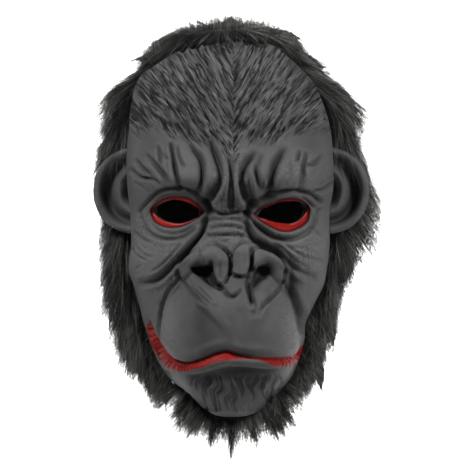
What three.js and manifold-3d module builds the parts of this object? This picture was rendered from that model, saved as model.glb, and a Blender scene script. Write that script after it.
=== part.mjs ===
// A gorilla mask for a whole head: a cast latex face with two latex ears, on a cloth hood covered in
// long fur, with a strip of fur under the chin. Millimetres, +Z up, the face looks along -Y.
// The origin is where the crown of the wearer's head meets the inside of the hood.
import * as THREE from "three";
import { mergeVertices } from "three/addons/utils/BufferGeometryUtils.js";
import Module from "manifold-3d";

const wasm = await Module();
wasm.setup();

// Driving dimensions, in millimetres.
const crownHeight = 134; // from the eye line up to the crown of the head
const upperHeight = 134; // from the eye line up to the top edge of the latex
const lowerHeight = 164; // from the eye line down to the underside of the chin
const faceHalfWidth = 85; // half the width of the face at the temples
const faceDepth = 108; // from the middle of the head forward to the flat of the face
const muzzleReach = 52; // how far the muzzle can stand in front of that flat
const relief = 10; // unit height of brow, nose and cheeks
const foldDepth = 5; // unit depth of the creases
const latexWall = 2.2;
const eyeSpacing = 84; // from the middle of one eye hole to the middle of the other
const eyeHoleWidth = 40;
const eyeHoleHeight = 19;
const eyeLean = 3; // degrees that an eye hole's outer corner is above its inner one
const earHeight = 73;
const earReach = 33; // from the side of the head to the rim of the ear
const earHollow = 8; // depth of the ear's bowl
const earWall = 3;
const earUp = 18; // the ear's middle above the eye line
const headHalfWidth = 86; // the hood, outside
const headBack = 97;
const headFront = 112;
const headBelow = 205;
const headCentreUp = 10; // the middle of the hood above the eye line
const neckBack = 74; // the hood's lower edge behind the middle of the head
const neckDown = 148; // and below the eye line, at the nape
const neckHalfWidth = 74; // half the width of the opening for the neck
const liningWall = 2;
const pileThickness = 13; // the dense part of the fur
const lockLength = 46;
const lockWidth = 20;
const lockLift = 14; // how far a lock's tip stands off the pile
const beardLength = 34;
const beardLift = 5;
const beardThickness = 5;
const beardDepth = 16; // of the strip under the chin, from its edge backward
const clearance = 0.45;

// Shape constants without a length.
const faceSquareness = 2.5;
const muzzleSquareness = 2.8;
const headSquareness = 2.8;
const neckRoundness = 0.7; // below 1, the opening for the neck is fuller than an oval
const muzzleRootShare = 0.45; // of the face's depth, where the muzzle's walls start
const muzzleBlendShare = 0.11; // of the face's depth, over which it runs into the cheeks
const blockHeartShare = 0.25; // of the face's depth, how deep what the face fills reaches at the eyes
const jawCorner = 0.83; // along the side of the face, where the hood's edge leaves it
const earRootShare = 0.955; // of the face's half width, where an ear starts
const earForwardShare = 0.435; // of the face's depth, where the ear's root is
const earSunkShare = 0.25; // of the ear's reach, how far its root lies inside
const poleTilt = 0.42; // the hood's rings are centred on a point behind and above
const columns = 38;
const rows = 33;
const middleRows = 2.6; // how much denser the rows are between brow and chin than elsewhere
const middleColumns = 1.8; // and the columns in the middle than at the sides

// Level sections of the face from the top edge down. up and end are the heights of a section's middle
// and of its ends, as shares of upperHeight above the eye line and of lowerHeight below it. right and
// left are how far it reaches to the wearer's right and left, and half is the muzzle's half width, as
// shares of faceHalfWidth. front and side are shares of faceDepth, and muzzle of muzzleReach in front.
const sections = [
  { up: 1, end: 0.965, right: 0.48, left: 0.46, front: 0.5, side: 0.43, muzzle: -0.9, half: 0.3 },
  { up: 0.965, end: 0.91, right: 0.64, left: 0.56, front: 0.62, side: 0.42, muzzle: -0.9, half: 0.3 },
  { up: 0.87, end: 0.79, right: 0.87, left: 0.75, front: 0.76, side: 0.4, muzzle: -0.9, half: 0.3 },
  { up: 0.7, end: 0.645, right: 0.94, left: 0.87, front: 0.87, side: 0.375, muzzle: -0.9, half: 0.3 },
  { up: 0.5, end: 0.48, right: 0.97, left: 0.94, front: 0.94, side: 0.35, muzzle: -0.9, half: 0.3 },
  { up: 0.32, end: 0.31, right: 0.99, left: 0.965, front: 0.975, side: 0.335, muzzle: -0.9, half: 0.3 },
  { up: 0.15, end: 0.15, right: 0.975, left: 0.97, front: 0.985, side: 0.325, muzzle: -0.9, half: 0.3 },
  { up: 0, end: 0, right: 0.95, left: 0.93, front: 0.97, side: 0.325, muzzle: -0.7, half: 0.3 },
  { up: -0.15, end: -0.15, right: 0.945, left: 0.935, front: 0.975, side: 0.33, muzzle: -0.25, half: 0.33 },
  { up: -0.28, end: -0.275, right: 0.965, left: 0.915, front: 0.985, side: 0.335, muzzle: 0.12, half: 0.4 },
  { up: -0.37, end: -0.36, right: 0.92, left: 0.87, front: 0.985, side: 0.34, muzzle: 0.5, half: 0.5 },
  { up: -0.46, end: -0.445, right: 0.875, left: 0.795, front: 0.97, side: 0.355, muzzle: 0.76, half: 0.59 },
  { up: -0.56, end: -0.535, right: 0.83, left: 0.73, front: 0.94, side: 0.375, muzzle: 0.9, half: 0.64 },
  { up: -0.67, end: -0.63, right: 0.77, left: 0.685, front: 0.9, side: 0.4, muzzle: 0.95, half: 0.64 },
  { up: -0.78, end: -0.725, right: 0.68, left: 0.64, front: 0.86, side: 0.425, muzzle: 0.82, half: 0.6 },
  { up: -0.88, end: -0.805, right: 0.595, left: 0.57, front: 0.8, side: 0.45, muzzle: 0.5, half: 0.51 },
  { up: -0.95, end: -0.865, right: 0.435, left: 0.47, front: 0.73, side: 0.475, muzzle: 0.12, half: 0.4 },
  { up: -0.99, end: -0.905, right: 0.355, left: 0.4, front: 0.67, side: 0.5, muzzle: -0.22, half: 0.3 },
  { up: -1, end: -0.925, right: 0.3, left: 0.35, front: 0.62, side: 0.52, muzzle: -0.5, half: 0.22 },
];

// Rounded masses that stand out of the face or sink into it. across and wide are shares of
// faceHalfWidth, up and tall are shares of upperHeight or lowerHeight, rise is a share of relief, and
// lean is in degrees. Each is made on both sides, apart from those on the middle line.
const masses = [
  { name: "brow", across: 0.5, up: 0.19, wide: 0.34, tall: 0.12, lean: 0, rise: 1.45 },
  { name: "glabella", across: 0, up: 0.17, wide: 0.22, tall: 0.14, lean: 0, rise: 0.9 },
  { name: "innerBrowFold", across: 0.13, up: 0.19, wide: 0.07, tall: 0.13, lean: 0, rise: -0.55 },
  { name: "outerBrowFold", across: 0.41, up: 0.2, wide: 0.07, tall: 0.12, lean: 0, rise: -0.4 },
  { name: "eyeSocket", across: 0.51, up: -0.005, wide: 0.35, tall: 0.1, lean: 3, rise: -1.75 },
  { name: "eyeball", across: 0.5, up: -0.005, wide: 0.27, tall: 0.075, lean: 3, rise: 0.6 },
  { name: "cheek", across: 0.69, up: -0.19, wide: 0.24, tall: 0.13, lean: 10, rise: 0.75 },
  { name: "bridge", across: 0, up: -0.05, wide: 0.15, tall: 0.16, lean: 0, rise: 0.95 },
  { name: "noseRoot", across: 0, up: -0.25, wide: 0.44, tall: 0.13, lean: 0, rise: 0.9 },
  { name: "noseBulb", across: 0.1, up: -0.25, wide: 0.11, tall: 0.09, lean: 0, rise: 0.9 },
  { name: "noseWingTop", across: 0.34, up: -0.235, wide: 0.15, tall: 0.065, lean: -12, rise: 0.85 },
  { name: "noseWingSide", across: 0.42, up: -0.35, wide: 0.08, tall: 0.1, lean: -25, rise: 0.75 },
  { name: "nostril", across: 0.26, up: -0.32, wide: 0.1, tall: 0.055, lean: 25, rise: -1.3 },
  { name: "lipHollow", across: 0.29, up: -0.54, wide: 0.16, tall: 0.1, lean: 25, rise: -0.3 },
  { name: "chin", across: 0, up: -0.87, wide: 0.4, tall: 0.09, lean: 0, rise: 0.25 },
  { name: "temple", across: 0.85, up: 0.42, wide: 0.2, tall: 0.2, lean: 0, rise: -0.25 },
];

// Creases. depth is a share of foldDepth, width of faceHalfWidth, and points are in the masses' units.
const folds = [
  {
    name: "cheekFold",
    both: true,
    depth: 0.6,
    width: 0.09,
    path: [[0.24, -0.06], [0.46, -0.16], [0.64, -0.27], [0.8, -0.36]],
  },
  {
    name: "mouth",
    both: false,
    depth: 1.3,
    width: 0.07,
    path: [
      [-0.79, -0.54],
      [-0.64, -0.67],
      [-0.4, -0.73],
      [-0.03, -0.69],
      [0.4, -0.68],
      [0.61, -0.65],
      [0.74, -0.57],
    ],
  },
];

// Across an ear, from its root to its rim: reach is a share of earReach and rise a share of earHollow.
const earProfile = [
  { reach: 0.0, rise: -0.9 },
  { reach: 0.16, rise: -1.0 },
  { reach: 0.32, rise: -0.9 },
  { reach: 0.44, rise: -0.2 },
  { reach: 0.54, rise: 0.05 },
  { reach: 0.64, rise: -0.45 },
  { reach: 0.76, rise: -0.75 },
  { reach: 0.87, rise: 0.15 },
  { reach: 0.94, rise: 0.4 },
  { reach: 1.0, rise: 0.1 },
];
const earSteps = 10;
const earSweep = 24; // degrees that the rim turns back from facing forward

// Where the hood's rings are, as shares of the way from the back of the head to its edge.
const hoodStops = [0, 0.16, 0.32, 0.47, 0.61, 0.74, 0.86, 0.95, 1];
const pileEdge = 0.7; // how far into the hood's last band the fur reaches
const napeShare = 0.54; // how thick the fur is round the neck, beside the rest
const [thinFrom, thinTo] = [0.595, 0.865]; // shares of neckDown between which it thins out

// Rings of fur locks from the back of the head to the hood's edge: at is the share of the way.
const lockRings = [
  { at: 0.22, count: 5 },
  { at: 0.42, count: 9 },
  { at: 0.6, count: 12 },
  { at: 0.76, count: 15 },
  { at: 0.9, count: 19 },
];

const { abs, cos, sin, sqrt, min, max, pow, PI, round, sign, exp } = Math;
const mix = (a, b, share) => a + (b - a) * share;
const clamp01 = (value) => min(1, max(0, value));
const smooth = (value) => clamp01(value) ** 2 * (3 - 2 * clamp01(value));
const across = (share) => share * faceHalfWidth;
const upward = (share) => share * (share < 0 ? lowerHeight : upperHeight);

// A point in the part's own frame, from how far it lies across, in front of the middle of the head,
// and above the eye line.
const place = (x, forward, up) => new THREE.Vector3(x, -forward, up - crownHeight);

// A value between the entries of a list, along a smooth curve through them.
function along(list, position) {
  const i = min(list.length - 2, max(0, Math.floor(position)));
  const f = position - i;
  const [a, b, c, d] = [list[max(0, i - 1)], list[i], list[i + 1], list[min(list.length - 1, i + 2)]];
  return b + 0.5 * f * (c - a + f * (2 * a - 5 * b + 4 * c - d + f * (3 * (b - c) + d - a)));
}

const sectionColumns = {
  up: sections.map((s) => upward(s.up)),
  end: sections.map((s) => upward(s.end)),
  right: sections.map((s) => across(s.right)),
  left: sections.map((s) => across(s.left)),
  front: sections.map((s) => s.front * faceDepth),
  side: sections.map((s) => s.side * faceDepth),
  muzzle: sections.map((s) => faceDepth + s.muzzle * muzzleReach),
  half: sections.map((s) => across(s.half)),
};

// The section at a share of the way from the top edge to the underside of the chin.
function sectionAt(t) {
  const position = t * (sections.length - 1);
  const entries = Object.entries(sectionColumns);
  return Object.fromEntries(entries.map(([key, list]) => [key, along(list, position)]));
}

// How far a point lies from a path, in millimetres, and at what share of the path's length.
function nearest(path, x, up) {
  let best = { distance: Infinity, share: 0 };
  for (let i = 0; i + 1 < path.length; i++) {
    const [a, b] = [path[i], path[i + 1]];
    const [dx, dy] = [b[0] - a[0], b[1] - a[1]];
    const f = clamp01(((x - a[0]) * dx + (up - a[1]) * dy) / (dx * dx + dy * dy));
    const distance = Math.hypot(x - a[0] - f * dx, up - a[1] - f * dy);
    if (distance < best.distance) best = { distance, share: (i + f) / (path.length - 1) };
  }
  return best;
}

// A path through a few chosen points, as a smooth line of short steps in millimetres.
function smoothPath(points) {
  const steps = 6 * (points.length - 1);
  const [xs, ups] = [points.map((p) => across(p[0])), points.map((p) => upward(p[1]))];
  return Array.from({ length: steps + 1 }, (_, i) => {
    const position = (i * (points.length - 1)) / steps;
    return [along(xs, position), along(ups, position)];
  });
}

const foldPaths = folds.map((fold) => ({ ...fold, path: smoothPath(fold.path) }));

// The squared distance from the middle of a mass, in its own radii.
function within(mass, x, up) {
  const lean = mass.lean * (PI / 180);
  const [dx, dy] = [x - across(mass.across), up - upward(mass.up)];
  const u = (dx * cos(lean) + dy * sin(lean)) / across(mass.wide);
  const v = (-dx * sin(lean) + dy * cos(lean)) / (mass.tall * (mass.up < 0 ? lowerHeight : upperHeight));
  return u * u + v * v;
}

// How far brow, sockets, cheeks and nose stand in front of the plain section.
const massesAt = (x, up) =>
  relief * masses.reduce((sum, mass) => sum + mass.rise * exp(-within(mass, abs(x), up)), 0);

// How deep the creases cut in at a point.
function foldsAt(x, up) {
  let depth = 0;
  for (const fold of foldPaths) {
    const at = nearest(fold.path, fold.both ? abs(x) : x, up);
    const fade = sqrt(sin(PI * mix(0.06, 0.94, at.share)));
    depth += fold.depth * fade * exp(-((at.distance / across(fold.width)) ** 2));
  }
  return depth * foldDepth;
}

// The plain face with its muzzle, at a share t of the way down and s across, from -1 to 1.
function plainForm(t, s) {
  const section = sectionAt(t);
  const width = abs(sin((s * PI) / 2));
  const roundness = pow(max(0, 1 - pow(width, faceSquareness)), 1 / faceSquareness);
  const x = (s < 0 ? section.right : section.left) * sin((s * PI) / 2);
  const up = mix(section.up, section.end, width ** 3);
  let forward = mix(section.side, section.front, roundness);
  const out = abs(x) / section.half;
  if (out < 1) {
    const wall = pow(1 - pow(out, muzzleSquareness), 1 / muzzleSquareness);
    const blend = muzzleBlendShare * faceDepth;
    const lift = mix(muzzleRootShare * faceDepth, section.muzzle, wall) - forward;
    forward += lift > blend ? lift : lift < -blend ? 0 : (lift + blend) ** 2 / (4 * blend);
  }
  return place(x, forward, up);
}

// The same with brow, eyes, cheeks and nose, which fade out at the rim.
function faceForm(t, s) {
  const point = plainForm(t, s);
  const inside = smooth((1 - abs(s)) / 0.25) * smooth(t / 0.06) * smooth((1 - t) / 0.06);
  return point.setY(point.y - inside * massesAt(point.x, point.z + crownHeight));
}

// Places along a line, so that the steps between them are equal once the line is bent.
function evenStops(pointAt, from, to, count, weight = () => 1) {
  const fine = 160;
  const stops = [0];
  let last = pointAt(from);
  for (let i = 1; i <= fine; i++) {
    const next = pointAt(mix(from, to, i / fine));
    stops.push(stops[i - 1] + next.distanceTo(last) * weight(next));
    last = next;
  }
  let i = 0;
  return Array.from({ length: count + 1 }, (_, k) => {
    const wanted = (stops[fine] * k) / count;
    while (i < fine - 1 && stops[i + 1] < wanted) i++;
    return mix(from, to, (i + clamp01((wanted - stops[i]) / (stops[i + 1] - stops[i]))) / fine);
  });
}

// Normals of a grid of points, from its neighbours. Rows run down and columns run across.
function gridNormals(grid) {
  return grid.map((row, j) =>
    row.map((_, i) => {
      const down = grid[min(grid.length - 1, j + 1)][i].clone().sub(grid[max(0, j - 1)][i]);
      const right = row[min(row.length - 1, i + 1)].clone().sub(row[max(0, i - 1)]);
      return down.cross(right).normalize();
    }),
  );
}

const offsetGrid = (grid, normals, distance) =>
  grid.map((row, j) => row.map((point, i) => point.clone().addScaledVector(normals[j][i], distance)));

// A solid from a list of triangles, each of three points. It is turned face out.
function solidFrom(triangles) {
  const positions = new Float32Array(triangles.flat().flatMap((p) => [p.x, p.y, p.z]));
  const geometry = new THREE.BufferGeometry();
  geometry.setAttribute("position", new THREE.BufferAttribute(positions, 3));
  const merged = mergeVertices(geometry, 1e-3);
  const triVerts = new Uint32Array(merged.index.array);
  const sharp = [];
  for (let i = 0; i < triVerts.length; i += 3) {
    const [a, b, c] = triVerts.subarray(i, i + 3);
    if (a !== b && b !== c && c !== a) sharp.push(a, b, c);
  }
  const vertProperties = merged.attributes.position.array;
  const solidOf = (list) =>
    new wasm.Manifold(new wasm.Mesh({ numProp: 3, vertProperties, triVerts: new Uint32Array(list) }));
  const solid = solidOf(sharp);
  if (solid.volume() > 0) return solid;
  for (let i = 0; i < sharp.length; i += 3) [sharp[i + 1], sharp[i + 2]] = [sharp[i + 2], sharp[i + 1]];
  return solidOf(sharp);
}

// Triangles of a grid seen from its front, or from behind.
function gridTriangles(grid, behind = false) {
  const triangles = [];
  for (let j = 0; j + 1 < grid.length; j++)
    for (let i = 0; i + 1 < grid[j].length; i++) {
      const [a, b, c, d] = [grid[j][i], grid[j + 1][i], grid[j + 1][i + 1], grid[j][i + 1]];
      triangles.push(...(behind ? [[a, c, b], [a, d, c]] : [[a, b, c], [a, c, d]]));
    }
  return triangles;
}

// The border of a grid as a loop of points.
function borderOf(grid) {
  const last = grid.length - 1;
  const width = grid[0].length - 1;
  return [
    ...grid.map((row) => row[0]).slice(0, last),
    ...grid[last].slice(0, width),
    ...grid.map((row) => row[width]).reverse().slice(0, last),
    ...[...grid[0]].reverse().slice(0, width),
  ];
}

// A wall between two grids of the same size.
function wallSolid(outer, inner) {
  const triangles = [...gridTriangles(outer), ...gridTriangles(inner, true)];
  const [outside, inside] = [borderOf(outer), borderOf(inner)];
  outside.forEach((a, i) => {
    const next = (i + 1) % outside.length;
    triangles.push([a, inside[next], outside[next]], [a, inside[i], inside[next]]);
  });
  return solidFrom(triangles);
}

// The latex face's outer skin as a grid, with closer rows from the brow to the chin and closer columns
// in the middle.
function faceGrid() {
  const [highest, lowest, ease] = [0.42 * upperHeight, -0.82 * lowerHeight, 0.15 * upperHeight];
  const rowWeight = (p) => {
    const up = p.z + crownHeight;
    return mix(1, middleRows, smooth((highest - up) / ease) * smooth((up - lowest) / ease));
  };
  const columnWeight = (p) => mix(1, middleColumns, exp(-((p.x / across(0.6)) ** 4)));
  const stops = evenStops((t) => plainForm(t, 0.2), 0, 1, rows, rowWeight).map((t) =>
    evenStops((s) => plainForm(t, s), -1, 1, columns, columnWeight).map((s) => [t, s]),
  );
  const normals = gridNormals(stops.map((row) => row.map(([t, s]) => plainForm(t, s))));
  return stops.map((row, j) =>
    row.map(([t, s], i) => {
      const point = faceForm(t, s);
      const rim = smooth(min(i, columns - i) / 4) * smooth(min(j, rows - j) / 2); // no crease at the edge
      return point.addScaledVector(normals[j][i], -rim * foldsAt(point.x, point.z + crownHeight));
    }),
  );
}

const skin = faceGrid();
const skinNormals = gridNormals(skin);

// A grid with a further row or column along each border, a gap beyond it.
function widerGrid(grid, gap) {
  const beyond = (edge, inside) => edge.clone().addScaledVector(edge.clone().sub(inside).normalize(), gap);
  const wide = grid.map((row) => [
    beyond(row[0], row[1]),
    ...row,
    beyond(row[row.length - 1], row[row.length - 2]),
  ]);
  const last = wide.length - 1;
  const above = wide[0].map((p, i) => beyond(p, wide[1][i]));
  const below = wide[last].map((p, i) => beyond(p, wide[last - 1][i]));
  return [above, ...wide, below];
}

// All that the face fills, grown by a gap, from its skin back to a point in the middle of the head.
function faceBlock(gap) {
  const wide = widerGrid(skin, gap);
  const normals = gridNormals(wide);
  const grown = offsetGrid(wide, normals, gap);
  const heart = place(0, blockHeartShare * faceDepth, 0);
  const border = borderOf(grown);
  const closing = border.map((a, i) => [a, heart, border[(i + 1) % border.length]]);
  const wall = wallSolid(grown, offsetGrid(wide, normals, -latexWall - gap));
  return solidFrom([...gridTriangles(grown), ...closing]).add(wall);
}

// An almond-shaped bar along Y through one eye hole.
function eyeBar(side) {
  const [w, h] = [eyeHoleWidth / 2, eyeHoleHeight / 2];
  const almond = new THREE.Shape();
  almond.moveTo(-w, 0);
  almond.bezierCurveTo(-w * 0.55, h * 1.35, w * 0.55, h * 1.35, w, 0);
  almond.bezierCurveTo(w * 0.55, -h * 1.35, -w * 0.55, -h * 1.35, -w, 0);
  const bar = new THREE.ExtrudeGeometry(almond, { depth: faceDepth, bevelEnabled: false, curveSegments: 6 });
  bar.rotateX(PI / 2);
  bar.rotateY(-side * eyeLean * (PI / 180));
  const middle = place((side * eyeSpacing) / 2, faceDepth / 2, 0);
  bar.translate(middle.x, middle.y, middle.z);
  return geometrySolid(bar);
}

function geometrySolid(geometry) {
  const plain = geometry.index ? geometry.toNonIndexed() : geometry;
  const { array } = plain.attributes.position;
  const triangles = [];
  for (let i = 0; i < array.length; i += 9)
    triangles.push([0, 3, 6].map((k) => new THREE.Vector3(array[i + k], array[i + k + 1], array[i + k + 2])));
  return solidFrom(triangles);
}

function faceShell() {
  const inner = offsetGrid(skin, skinNormals, -latexWall);
  return wallSolid(skin, inner).subtract(eyeBar(-1)).subtract(eyeBar(1));
}

// One ear: a dish that faces forward, from a root inside the side of the face to a rolled rim.
function earSolid(side, grow = 0) {
  const sweep = earSweep * (PI / 180);
  const reach = earReach + grow;
  const half = earHeight / 2 + grow;
  const sunk = -earSunkShare * earReach;
  const grid = earProfile.map((ring) =>
    Array.from({ length: earSteps + 1 }, (_, i) => {
      const turn = mix(PI / 2, -PI / 2, i / earSteps);
      const out = mix(sunk, reach, ring.reach * pow(max(0, cos(turn)), 0.8));
      const up = half * sin(turn) * mix(0.25, 1, ring.reach);
      const rise = earHollow * ring.rise * sqrt(max(0, cos(turn * 0.92)));
      return place(
        side * (faceHalfWidth * earRootShare + out * cos(sweep)),
        earForwardShare * faceDepth + rise - max(0, out) * sin(sweep),
        earUp + up,
      );
    }),
  );
  const front = grid.map((row) => row.map((p) => p.clone().setY(p.y - grow)));
  const back = grid.map((row) => row.map((p) => p.clone().setY(p.y + earWall + grow)));
  return wallSolid(front, back);
}

// The hood's outer form: the point of a rounded block in a direction from the middle of the head.
function headPoint(direction) {
  const up = crownHeight + liningWall - headCentreUp;
  const radii = [headHalfWidth, direction.y < 0 ? headFront : headBack, direction.z > 0 ? up : headBelow];
  const parts = [direction.x, direction.y, direction.z].map((d, i) => pow(abs(d) / radii[i], headSquareness));
  const scale = pow(parts[0] + parts[1] + parts[2], -1 / headSquareness);
  return direction.clone().multiplyScalar(scale).add(headCentre);
}
const headCentre = place(0, 0, headCentreUp);
const headPole = new THREE.Vector3(0, cos(poleTilt), sin(poleTilt));

// The loop that the hood's edge follows: up one side of the face, over its top, down the other and round
// the neck.
function hoodEdge(gap) {
  const sideSteps = 11;
  const topSteps = 8;
  const neckSteps = 10;
  const rim = (t, s) => {
    const [edge, inside] = [faceForm(t, s), faceForm(t === 0 ? 0.02 : t, s * (t === 0 ? 1 : 0.97))];
    return edge.clone().addScaledVector(edge.clone().sub(inside).normalize(), gap);
  };
  const loop = [];
  for (let i = 0; i < sideSteps; i++) loop.push(rim(mix(jawCorner, 0, i / sideSteps), -1));
  for (let i = 0; i < topSteps; i++) loop.push(rim(0, mix(-1, 1, i / topSteps)));
  for (let i = 0; i < sideSteps; i++) loop.push(rim(mix(0, jawCorner, i / sideSteps), 1));
  const corners = [rim(jawCorner, 1), rim(jawCorner, -1)];
  const nape = place(0, -neckBack, -neckDown);
  for (let i = 0; i < neckSteps; i++) {
    const turn = (PI * i) / neckSteps;
    const [back, corner] = [sin(turn), corners[0].clone().lerp(corners[1], i / neckSteps)];
    const reach = mix(abs(corners[0].x), abs(corners[1].x), i / neckSteps);
    const x = mix(reach, neckHalfWidth, smooth(back)) * sign(cos(turn)) * pow(abs(cos(turn)), neckRoundness);
    loop.push(new THREE.Vector3(x, mix(corner.y, nape.y, back), mix(corner.z, nape.z, back ** 2)));
  }
  return loop;
}

// The hood's outer surface as rings from the back of the head to its edge.
function hoodRings(stops, gap) {
  const edge = hoodEdge(gap);
  return stops.map((r) =>
    edge.map((point) => {
      const away = point.clone().sub(headCentre).normalize();
      const angle = headPole.angleTo(away);
      const direction = headPole
        .clone()
        .multiplyScalar(sin((1 - r) * angle))
        .addScaledVector(away, sin(r * angle))
        .normalize();
      const miss = point.clone().sub(headPoint(away));
      return headPoint(direction).addScaledVector(miss, smooth((r - 0.45) / 0.55));
    }),
  );
}

// Normals of closed rings, pointing away from the head.
function ringNormals(rings) {
  return rings.map((ring, j) =>
    ring.map((point, i) => {
      if (j === 0) return headPole.clone();
      const along = ring[(i + 1) % ring.length].clone().sub(ring[(i + ring.length - 1) % ring.length]);
      const outward = rings[min(rings.length - 1, j + 1)][i].clone().sub(rings[j - 1][i]);
      const normal = outward.cross(along).normalize();
      return normal.dot(point.clone().sub(headCentre)) < 0 ? normal.negate() : normal;
    }),
  );
}

// A cap of cloth or pile: rings moved out by a distance for each point outside, and by one inside.
function capSolid(rings, outside, inside) {
  const normals = ringNormals(rings);
  const closed = (grid) => grid.map((ring) => [...ring, ring[0]]);
  const lifted = rings.map((ring, j) =>
    ring.map((point, i) => point.clone().addScaledVector(normals[j][i], outside(point))),
  );
  const outer = closed(lifted);
  const inner = closed(offsetGrid(rings, normals, inside));
  const last = rings.length - 1;
  const edge = outer[last].slice(0, -1).flatMap((a, i) => [
    [a, outer[last][i + 1], inner[last][i + 1]],
    [a, inner[last][i + 1], inner[last][i]],
  ]);
  return solidFrom([...gridTriangles(outer, true), ...gridTriangles(inner), ...edge]);
}

function hoodLining() {
  return capSolid(hoodRings(hoodStops, clearance), () => 0, -liningWall).subtract(faceBlock(clearance));
}

// A lock of fur: a bent spike with a ridge on top, from its sunken root to its tip.
function lockSolid(root, normal, flow, size) {
  const side = flow.clone().cross(normal).normalize();
  const wedge = (centre, half, thick) =>
    [[1, -0.5], [-1, -0.5], [0, 1]].map(([a, b]) =>
      centre.clone().addScaledVector(side, a * half).addScaledVector(normal, b * thick),
    );
  const start = wedge(root, size.width / 2, size.thick * 0.5);
  const out = (share, lift) =>
    root.clone().addScaledVector(flow, size.length * share).addScaledVector(normal, lift);
  const middle = wedge(out(0.5, size.lift * 0.45), size.width * 0.4, size.thick * 0.6);
  const tip = out(1, size.lift);
  const triangles = [[start[0], start[2], start[1]]];
  for (let i = 0; i < 3; i++) {
    const k = (i + 1) % 3;
    triangles.push([start[i], start[k], middle[k]], [start[i], middle[k], middle[i]]);
    triangles.push([middle[i], middle[k], tip]);
  }
  return solidFrom(triangles);
}

// The way that the fur lies at a point: down, a little outward, and back over the crown.
function furFlow(point, normal) {
  const wish = new THREE.Vector3(1.1 * sign(point.x) * smooth(abs(point.x) / headHalfWidth), 0.35, -1);
  return wish.addScaledVector(normal, -wish.dot(normal)).normalize();
}

function hoodFur() {
  const rings = hoodRings(hoodStops, clearance);
  const edge = rings.pop();
  rings.push(rings[rings.length - 1].map((point, i) => point.clone().lerp(edge[i], pileEdge)));
  const pile = (point) => {
    const down = -(point.z + crownHeight) / neckDown;
    return pileThickness * mix(1, napeShare, smooth((down - thinFrom) / (thinTo - thinFrom)));
  };
  let fur = capSolid(rings, (point) => clearance + pile(point), -liningWall / 2);
  lockRings.forEach(({ at, count }, ring) => {
    const [here, next] = hoodRings([at, at + 0.02], clearance);
    const normals = ringNormals([here, here, next])[1];
    for (let i = 0; i < count; i++) {
      const k = round(((i + 0.5 * (ring % 2)) * here.length) / count) % here.length;
      const root = here[k].clone().addScaledVector(normals[k], clearance + pile(here[k]) * 0.6);
      const length = lockLength * (0.85 + 0.3 * abs(sin(7.1 * i + 2.3 * ring)));
      const size = { length, width: lockWidth, thick: pileThickness, lift: lockLift };
      fur = fur.add(lockSolid(root, normals[k], furFlow(here[k], normals[k]), size));
    }
  });
  const gap = 4 * clearance;
  const lining = capSolid(hoodRings(hoodStops, clearance), () => clearance, -liningWall);
  return fur.subtract(lining).subtract(faceBlock(gap)).subtract(earSolid(-1, gap)).subtract(earSolid(1, gap));
}

// The strip of fur under the chin, along the lower edge of the face between the corners of the jaw.
function beardFur() {
  const steps = 16;
  const rim = (share) => {
    const sideShare = 0.36;
    if (share < sideShare) return faceForm(mix(jawCorner, 1, share / sideShare), -1);
    if (share > 1 - sideShare) return faceForm(mix(jawCorner, 1, (1 - share) / sideShare), 1);
    return faceForm(1, mix(-1, 1, (share - sideShare) / (1 - 2 * sideShare)));
  };
  const start = 0.05;
  const line = Array.from({ length: steps + 1 }, (_, i) => rim(mix(start, 1 - start, i / steps)));
  const inward = place(0, 0, -0.6 * lowerHeight);
  const strip = line.map((point) => {
    const back = inward.clone().sub(point).setZ(0).normalize();
    const near = point.clone().addScaledVector(back, latexWall + clearance);
    const far = near.clone().addScaledVector(back, beardDepth);
    return [near, far];
  });
  const chinHeart = place(0, 0, -0.55 * lowerHeight);
  const outward = line.map((point) => point.clone().sub(chinHeart).setY(0).normalize());
  const sunk = (p, i, distance) => p.clone().addScaledVector(outward[i], distance);
  const bottom = strip.map(([near, far], i) => [sunk(near, i, beardThickness), sunk(far, i, beardThickness)]);
  let beard = wallSolid(strip, bottom);
  line.forEach((point, i) => {
    const [near, far] = strip[i];
    const out = near.clone().sub(far).normalize();
    const flow = new THREE.Vector3(out.x * 0.75, out.y * 0.3, -1).normalize();
    const root = sunk(near.clone().lerp(far, 0.35 + 0.3 * (i % 2)), i, beardThickness / 2);
    const normal = out.clone().addScaledVector(flow, -out.dot(flow)).normalize();
    const length = beardLength * (0.8 + 0.25 * abs(sin(5.3 * i)));
    const size = { length, width: lockWidth * 0.7, thick: beardThickness, lift: beardLift };
    beard = beard.add(lockSolid(root, normal, flow, size));
  });
  return beard.subtract(faceBlock(clearance));
}

// The largest of a solid's bodies, without the slivers that a cut can leave.
function mainBody(solid) {
  return solid.decompose().sort((a, b) => b.volume() - a.volume())[0];
}

// A solid's surface as a geometry.
function surfaceOf(solid) {
  const { numProp, numVert, vertProperties, triVerts } = solid.getMesh();
  const positions = new Float32Array(numVert * 3);
  for (let i = 0; i < numVert; i++)
    positions.set(vertProperties.subarray(i * numProp, i * numProp + 3), i * 3);
  const geometry = new THREE.BufferGeometry();
  geometry.setAttribute("position", new THREE.BufferAttribute(positions, 3));
  geometry.setIndex(new THREE.BufferAttribute(triVerts, 1));
  return geometry;
}

// A named mesh from a solid. Vertices that all but touch become one, and what that pinches off is dropped.
function pieceOf(name, solid, material) {
  const joined = geometrySolid(surfaceOf(mainBody(solid)));
  const geometry = surfaceOf(mainBody(joined));
  geometry.computeVertexNormals();
  const mesh = new THREE.Mesh(geometry, material);
  mesh.name = name;
  return mesh;
}

const latex = new THREE.MeshStandardMaterial({ color: 0x3a3a3a, roughness: 0.62, metalness: 0 });
const cloth = new THREE.MeshStandardMaterial({ color: 0x101010, roughness: 0.95, metalness: 0 });
const fur = new THREE.MeshStandardMaterial({ color: 0x161615, roughness: 0.7, metalness: 0 });

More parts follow.
